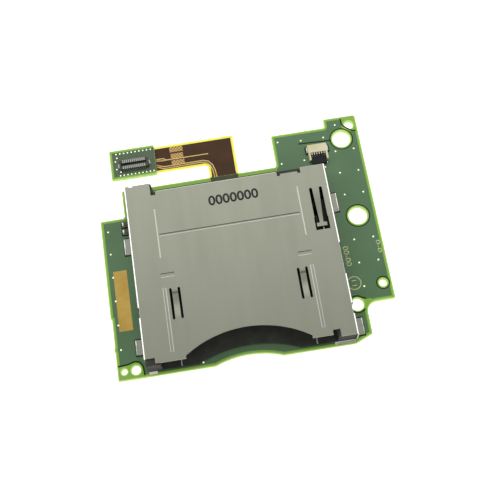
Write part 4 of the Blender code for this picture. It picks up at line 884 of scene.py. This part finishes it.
class SLOT_OT_shell(bpy.types.Operator):
    """Folded steel shell with rounded sheet edges, and the printed figures on it"""
    bl_idname = "card_slot.shell"
    bl_label = "Steel shell"

    # Painted highlight lines as thin bright ribbons: in front of the coined cross lines, and along the rear
    # edge
    GLINT_LINES = (((11.9, 25.84), (39.5, 25.84)), ((11.2, 17.4), (13.75, 17.4)), ((37.65, 17.4), (40.2, 17.4)),
            ((12.4, 35.38), (36.2, 35.38)))
    GLINT_W = 0.13
    GLINT_H = 0.012
    # Tinned height of the feet, reach of the side bends' painted highlight and shade, depth of coined lines
    TINNED = 0.4
    BEND = 0.5
    LINE_DEPTH = 0.09
    # Front and rear of the bands of painted shade: at the card springs' sharp bend, and at the flange's fold
    CREASE = (13.8, 14.4)
    FLANGE_FOLD = (34.7, 35.2)
    # Printed figures: middle, size, turn in degrees, thickness, and how much bolder than plain letters
    FIGURES = (27.2, 31.6)
    FIGURES_SIZE = (9.9, 2.05)
    FIGURES_TURN = 181.0
    FIGURES_THICK = 0.008
    FIGURES_BOLD = 0.022

    def execute(self, context):
        look = context.scene.slot_metal
        shell = dress("shell", "steel_shell", rolled_steel(look), look.edge)
        # Painted highlights and shade on the shell's bends, flanks, fold and springs; dull tin on the feet
        for name, tint, roughness, chosen in (
                ("bend_highlight_steel", look.bend, 0.22, self.bend_highlight),
                ("coined_line_highlight", look.coined, 0.28, self.coined),
                ("shaded_steel", look.shade, 0.45, self.shaded),
                ("crease_shade_steel", look.crease, 0.45, self.crease_shade),
                ("tinted_steel", look.steel_highlight, 0.35, self.raised),
                ("dull_tin", look.dull, 0.5, self.tinned)):
            paint_faces(shell, tinted_steel(name, tint, roughness), chosen)
        # Painted highlight lines: thin bright ribbons laid on the shell
        bright = tinted_steel("glint_steel", look.steel_highlight, 0.4)
        glints = [ribbon("lip", [spot(*end, SHELL_TOP) for end in line], self.GLINT_W * MM, self.GLINT_H * MM,
                       bright) for line in self.GLINT_LINES]
        join_pieces("coined_line_glints", glints)
        width, depth = self.FIGURES_SIZE
        printed_text("shell_figures", "0000000", spot(*self.FIGURES, SHELL_TOP), width * MM, depth * MM,
                     self.FIGURES_TURN, self.FIGURES_THICK * MM, print_ink(look), self.FIGURES_BOLD)
        return {"FINISHED"}

    def from_side(self, place):
        """How far a place is inside the nearer side of the shell, in millimetres."""
        return min(place.x - BASE_LEFT, BASE_RIGHT - place.x) / MM

    def on_bend(self, place):
        return self.from_side(place) < self.BEND and place.z > SHELL_TOP - self.BEND * MM

    def on_line(self, place, normal):
        """On a flank of a bead or of a coined line, away from the bends."""
        shallow = place.z > SHELL_TOP - self.LINE_DEPTH * MM
        return self.from_side(place) > self.BEND + 1.0 and shallow and 0.6 < normal.z < 0.96

    def bend_highlight(self, place, normal):
        """Painted highlight on the upper part of the side bends."""
        return self.on_bend(place) and 0.7 < normal.z < 0.95

    def coined(self, place, normal):
        """Painted highlight on the flanks of the two long coined lines."""
        return self.on_line(place, normal) and place.z < SHELL_TOP and abs(normal.x) > 0.25

    def shaded(self, place, normal):
        """Lower part of the side bends, far flank of the cross lines, and the flange's fold."""
        far_flank = self.on_line(place, normal) and place.z < SHELL_TOP and normal.y < -0.25
        front, rear = [spot(0.0, v).y for v in self.FLANGE_FOLD]
        on_fold = front < place.y < rear and 0.12 < normal.y and -0.1 < normal.z
        return (self.on_bend(place) and 0.1 < normal.z < 0.7) or far_flank or on_fold

    def crease_shade(self, place, normal):
        """Painted shade on a band across each card spring near its rear end, where it bends sharply."""
        front, rear = [spot(0.0, v).y for v in self.CREASE]
        dipped = SHELL_TOP - 0.2 * MM < place.z < SHELL_TOP - 0.02 * MM
        return front < place.y < rear and dipped and 0.9 < normal.z

    def raised(self, place, normal):
        """Painted highlight on the flanks of the beads."""
        return self.on_line(place, normal) and place.z > SHELL_TOP and abs(normal.x) > 0.25

    def tinned(self, place, normal):
        """The solder feet."""
        return place.z < BOARD_TOP + self.TINNED * MM


class SLOT_OT_bay(bpy.types.Operator):
    """Moulded base, card contacts, slider, spring and cam pin"""
    bl_idname = "card_slot.bay"
    bl_label = "Card bay"

    # The slider's travel, by which the coil is pressed together in use; here the coil keeps its imported
    # shape
    TRAVEL = 3.6
    # Bars of the base seen past the shell: left, right, front, rear, underside, and drop from its top
    BARS = (("tab_wall", 11.0, 11.42, 35.0, 37.25, BOARD_TOP + 0.03 * MM, 0.3),
            ("flange_bar", 36.95, 40.55, 35.13, 35.62, SHELL_TOP - 1.6 * MM, 0.35))
    # Two floor ribs behind its front edge, painted pale as a highlight: reach and heights over its underside
    HIGHLIGHT_REACH = 2.0
    HIGHLIGHT_LOW = 0.59
    HIGHLIGHT_HIGH = 0.67
    CONTACTS = 17

    def execute(self, context):
        metal, plastic = context.scene.slot_metal, context.scene.slot_plastic
        black = moulded("base_plastic", plastic.base, colour("484844"), 0.6, 0.18, 0.03)
        base = dress("base", "moulded_base", black, plastic.edge)
        for name, left, right, front, rear, low_z, down in self.BARS:
            first, last = spot(left, front, low_z), spot(right, rear, SHELL_TOP - down * MM)
            pad(name, (first + last) / 2, last - first, SMALL_EDGE, black)
        # Pale painted highlight on the two floor ribs near the front edge
        pale = moulded("rib_highlight_plastic", colour("B4B4B6"), colour("8E8E92"), 0.4, 0.18)
        paint_faces(base, pale, self.rib_highlight)
        brown = moulded("slider_plastic", plastic.slider, colour("1E1715"), 0.5, 0.15)
        dress("slider", "slider_block", brown, SMALL_EDGE, "slider")
        wire = drawn_wire(metal)
        coil = dress("eject_spring", "eject_coil", wire, 0.0)
        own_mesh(coil)
        dress("cam_pin", "cam_wire", wire, 0.0, "cam_pin")
        gold = gold_flash(metal)
        for k in range(1, self.CONTACTS + 1):
            dress("contact_%02d" % k, "card_contact_%02d" % k, gold, FINE_EDGE)
        bright = tinted_steel("bright_tin", metal.bend, 0.35)
        for side in ("left", "right"):
            dress("hold_down_" + side, "front_bracket_" + side, bright, FINE_EDGE)
        return {"FINISHED"}

    def rib_highlight(self, place, normal):
        """Painted highlight on the ribs' faces near the front edge."""
        start = low("base")
        near = place.y < start.y + self.HIGHLIGHT_REACH * MM
        return near and start.z + self.HIGHLIGHT_LOW * MM < place.z < start.z + self.HIGHLIGHT_HIGH * MM


class SLOT_OT_link(bpy.types.Operator):
    """Board-to-board connector on the tail"""
    bl_idname = "card_slot.link"
    bl_label = "Tail connector"

    # From the contacts' outer ends to the body's side
    CONTACT_OUT = 0.255

    def execute(self, context):
        plastic = context.scene.slot_plastic
        dark = moulded("link_plastic", plastic.link, colour("4A524A"), 0.45, 0.1)
        body = dress("link_housing", "link_body", dark, 0.0)
        plate = tinted_steel("nickel_plate", context.scene.slot_metal.dull, 0.4)
        paint_faces(body, plate, self.on_contact)
        for side in ("left", "right"):
            dress("link_nail_" + side, "link_tab_" + side, plate, FINE_EDGE)
        return {"FINISHED"}

    def on_contact(self, place, normal):
        """The contacts' tops and their outer ends, which stand out past the body's long sides."""
        start, end = low("link_housing"), high("link_housing")
        half = (end.y - start.y) / 2 - self.CONTACT_OUT * MM
        return place.z > end.z - 0.02 * MM or abs(place.y - (start.y + end.y) / 2) > half


class SLOT_OT_lock(bpy.types.Operator):
    """Film connector with its flip lever"""
    bl_idname = "card_slot.lock"
    bl_label = "Film connector"

    CONTACTS = 6

    def execute(self, context):
        metal, plastic = context.scene.slot_metal, context.scene.slot_plastic
        cream = moulded("lock_plastic", plastic.lock, colour("D6D0A2"), 0.5, 0.1)
        dress("lock_housing", "film_lock", cream, SMALL_EDGE)
        black = moulded("lever_plastic", plastic.lever, colour("19191D"), 0.45, 0.1)
        dress("lock_lever", "flip_lever", black, SMALL_EDGE, "lever")
        pale = pale_plate(metal)
        for k in range(1, self.CONTACTS + 1):
            dress("lock_contact_%d" % k, "film_blade_%d" % k, pale, 0.0)
        tin = tin_solder(metal)
        for side in ("left", "right"):
            dress("lock_nail_" + side, "film_lock_tab_" + side, tin, FINE_EDGE)
        return {"FINISHED"}


def block_round(low_place, high_place, margin, height, level):
    """Middle and size of a flat block that reaches past a foot by a margin on each side."""
    centre = (low_place + high_place) / 2
    centre.z = level
    return centre, (high_place.x - low_place.x + 2 * margin, high_place.y - low_place.y + 2 * margin, height)


def solder_skirt(low_place, high_place, margin, height, finish):
    """Reflowed solder round a foot: a low block with broad rounded shoulders, drawn in towards its top."""
    level = BOARD_TOP + 0.01 * MM + height / 2
    centre, size = block_round(low_place, high_place, margin, height, level)
    start_alone()
    bpy.ops.mesh.primitive_cube_add(size=1.0, location=centre)
    made = bpy.context.object
    made.scale = size
    settle(made, "solder", finish, ROOT)
    top = max(face.center.z for face in made.data.polygons)
    for face in made.data.polygons:
        face.select = face.center.z > top - 0.001 * MM
    bpy.ops.object.mode_set(mode="EDIT")
    bpy.ops.mesh.select_mode(type="FACE")
    shrink = [max(0.2, 1.0 - 1.5 * margin / axis) for axis in size[:2]]
    bpy.ops.transform.resize(value=(shrink[0], shrink[1], 1.0), center_override=(centre.x, centre.y, top))
    bpy.ops.object.mode_set(mode="OBJECT")
    apply_bevel(made, 0.05 * MM, 3)
    return made


def pad_clearance(low_place, high_place, margin, finish, layer):
    """Gap in the copper plane round a soldered pad, seen as a dark outline through the mask."""
    centre, size = block_round(low_place, high_place, margin, layer + 0.004 * MM, BOARD_TOP + layer / 2)
    return pad("clearance", centre, size, 0.004 * MM, finish)


class SLOT_OT_chips(bpy.types.Operator):
    """Chip capacitors, and the solder round every foot"""
    bl_idname = "card_slot.chips"
    bl_label = "Chips and solder"

    # Feet of the shell in millimetres from the board's corner: left, right, front, rear
    FEET = ((4.41, 5.7, 24.9, 28.2), (4.41, 5.7, 4.4, 7.3), (46.35, 47.65, 27.1, 31.0),
            (46.35, 47.65, 1.5, 4.7))
    # Solder under a foot, and the bead along its outer edge: half width, share of the skirt, height
    FOOT_SOLDER = 0.16
    BEAD = (0.12, 0.4, 0.36)
    # Nodes with solder round them: share of the skirt, height, and whether the copper stays clear of them
    SOLDERED = (("chip_capacitor_1", 1.0, 0.3, True), ("chip_capacitor_2", 1.0, 0.3, True),
                ("hold_down_left", 0.6, 0.1, False), ("hold_down_right", 0.6, 0.1, False),
                ("lock_nail_left", 0.6, 0.1, True), ("lock_nail_right", 0.6, 0.1, True),
                ("link_nail_left", 0.6, 0.1, False), ("link_nail_right", 0.6, 0.1, False))
    CLEAR = 0.14
    CAP = 0.31

    def execute(self, context):
        board, metal, plastic = context.scene.slot_board, context.scene.slot_metal, context.scene.slot_plastic
        tin = tin_solder(metal)
        ceramic = moulded("chip_ceramic", plastic.chip, colour("5E5E4A"), 0.5, 0.1)
        for k in (1, 2):
            node = "chip_capacitor_%d" % k
            chip = dress(node, "chip_%d" % k, ceramic, SMALL_EDGE)
            left, right = low(node).x + self.CAP * MM, high(node).x - self.CAP * MM
            paint_faces(chip, tin, lambda place, normal: place.x < left or place.x > right)
        gap = shaded_plane_gap(board)
        clearance = metal.skirt + self.CLEAR * MM
        half, bead_share, bead_height = self.BEAD
        lumps = []
        clear = []
        for left, right, front, rear in self.FEET:
            near, far = spot(left, front), spot(right, rear)
            lumps.append(solder_skirt(near, far, metal.skirt, self.FOOT_SOLDER * MM, tin))
            outer = left if near.x < BASE_LEFT else right
            lumps.append(solder_skirt(spot(outer - half, front), spot(outer + half, rear),
                                      metal.skirt * bead_share, bead_height * MM, tin))
            clear.append(pad_clearance(near, far, clearance, gap, board.layer))
        for node, share, height, apart in self.SOLDERED:
            lumps.append(solder_skirt(low(node), high(node), metal.skirt * share, height * MM, tin))
            if apart:
                clear.append(pad_clearance(low(node), high(node), clearance, gap, board.layer))
        join_pieces("solder_skirts", lumps)
        join_pieces("pad_clearances", clear)
        return {"FINISHED"}


class SLOT_OT_legend(bpy.types.Operator):
    """Screen printed legend: a ring with two bars, and rows of plain noughts"""
    bl_idname = "card_slot.legend"
    bl_label = "Printed legend"

    RING = (47.75, 11.8)
    RING_R = 1.4
    LINE = 0.19
    # Bars in the ring: half length, and how far in front of and behind its middle
    BAR_HALF = 0.45
    BAR_OFFSET = 0.5
    # Rows of noughts: text, place, width and depth
    ROWS = (("00-00", (47.45, 17.45), 4.2, 1.1), ("0-0", (54.0, 18.5), 2.7, 0.8))
    ROW_TURN = -89.0
    ROW_BOLD = 0.012
    THICK = 0.004

    def execute(self, context):
        look = context.scene.slot_board
        ink = legend_ink(look)
        thick = self.THICK * MM
        level = BOARD_TOP + look.layer - 0.003 * MM
        u, v = self.RING
        marks = [annulus("ring", spot(u, v, level), (self.RING_R - self.LINE) * MM, self.RING_R * MM, thick,
                         ink, 48)]
        for offset in (-self.BAR_OFFSET, self.BAR_OFFSET):
            bar = [spot(u + end, v + offset, level) for end in (self.BAR_HALF, -self.BAR_HALF)]
            marks.append(ribbon("bar", bar, self.LINE * MM, thick * 2, ink))
        for body, place, width, depth in self.ROWS:
            marks.append(printed_text("row", body, spot(*place, level), width * MM, depth * MM,
                                      self.ROW_TURN, thick, ink, bold=self.ROW_BOLD))
        join_pieces("board_legend", marks)
        return {"FINISHED"}


class SLOT_OT_stage(bpy.types.Operator):
    """Light table, soft lights and the camera of the photograph"""
    bl_idname = "card_slot.stage"
    bl_label = "Stage"

    # The camera that the photograph's vanishing lines give, in millimetres and degrees
    CAMERA_PLACE = (-2.658, -60.575, 162.676)
    CAMERA_TURN = (20.189, 2.200, -8.849)
    # Soft boxes: tilt from overhead, bearing (0 the front, 180 the rear), share of the power, side in metres
    LIGHTS = ((38.0, 180.0, 1.0, 0.22), (68.0, 246.0, 0.95, 0.22), (66.0, 114.0, 0.85, 0.22),
              (40.0, 0.0, 0.25, 0.2))
    FOCAL_LENGTH = 870.0
    FRAME_SIZE = 488.0
    SENSOR = 36.0

    def execute(self, context):
        look = context.scene.slot_stage
        bpy.context.scene.view_settings.view_transform = "Standard"
        start_alone()
        bpy.ops.mesh.primitive_plane_add(size=1.2, location=(0.0, 0.0, CAD_BOX[0][2] - 0.02 * MM))
        floor = bpy.context.object
        floor.name = "light_table"
        made, tree, shader = new_material("light_table", look.floor, Roughness=0.7)
        lit_through(shader, look.floor, look.glow)
        floor.data.materials.append(made)
        world = bpy.data.worlds.new("soft_light")
        world.use_nodes = True
        world.node_tree.nodes["Background"].inputs["Color"].default_value = (1.0, 1.0, 1.0, 1.0)
        world.node_tree.nodes["Background"].inputs["Strength"].default_value = look.sky
        bpy.context.scene.world = world
        for tilt, bearing, share, size in self.LIGHTS:
            start_alone()
            rotation = Euler((math.radians(tilt), 0.0, math.radians(bearing)))
            place = rotation.to_matrix() @ Vector((0.0, 0.0, look.distance))
            bpy.ops.object.light_add(type="AREA", location=place, rotation=rotation)
            bpy.context.object.data.energy = look.key * share
            bpy.context.object.data.size = size
        camera = bpy.data.objects.new("photo_view", bpy.data.cameras.new("photo_view"))
        bpy.context.scene.collection.objects.link(camera)
        camera.location = [value * MM for value in self.CAMERA_PLACE]
        camera.rotation_euler = Euler([math.radians(angle) for angle in self.CAMERA_TURN])
        camera.data.sensor_width = self.SENSOR
        camera.data.lens = self.FOCAL_LENGTH / self.FRAME_SIZE * self.SENSOR
        camera.data.clip_start = 0.01
        bpy.context.scene.camera = camera
        return {"FINISHED"}


OPERATORS = (SLOT_OT_stage, SLOT_OT_board, SLOT_OT_tail, SLOT_OT_shell, SLOT_OT_bay, SLOT_OT_link,
             SLOT_OT_lock, SLOT_OT_chips, SLOT_OT_legend)
LOOKS = (("slot_board", BoardLook), ("slot_metal", MetalLook), ("slot_plastic", PlasticLook),
         ("slot_stage", StageLook))


class SLOT_PT_panel(bpy.types.Panel):
    """Buttons for each group of pieces"""
    bl_idname = "SLOT_PT_panel"
    bl_label = "Card Slot"
    bl_space_type = "VIEW_3D"
    bl_region_type = "UI"
    bl_category = "Card Slot"

    def draw(self, context):
        for operator in OPERATORS:
            self.layout.operator(operator.bl_idname)
        for name, look in LOOKS:
            box = self.layout.box()
            for value in look.__annotations__:
                box.prop(getattr(context.scene, name), value)


def register():
    for name, look in LOOKS:
        bpy.utils.register_class(look)
        setattr(bpy.types.Scene, name, PointerProperty(type=look))
    for item in OPERATORS + (SLOT_PT_panel,):
        bpy.utils.register_class(item)


def unregister():
    for item in reversed(OPERATORS + (SLOT_PT_panel,)):
        bpy.utils.unregister_class(item)
    for name, look in reversed(LOOKS):
        delattr(bpy.types.Scene, name)
        bpy.utils.unregister_class(look)


def main():
    register()
    for operator in OPERATORS:
        group, command = operator.bl_idname.split(".")
        getattr(getattr(bpy.ops, group), command)()


if __name__ == "__main__":
    main()
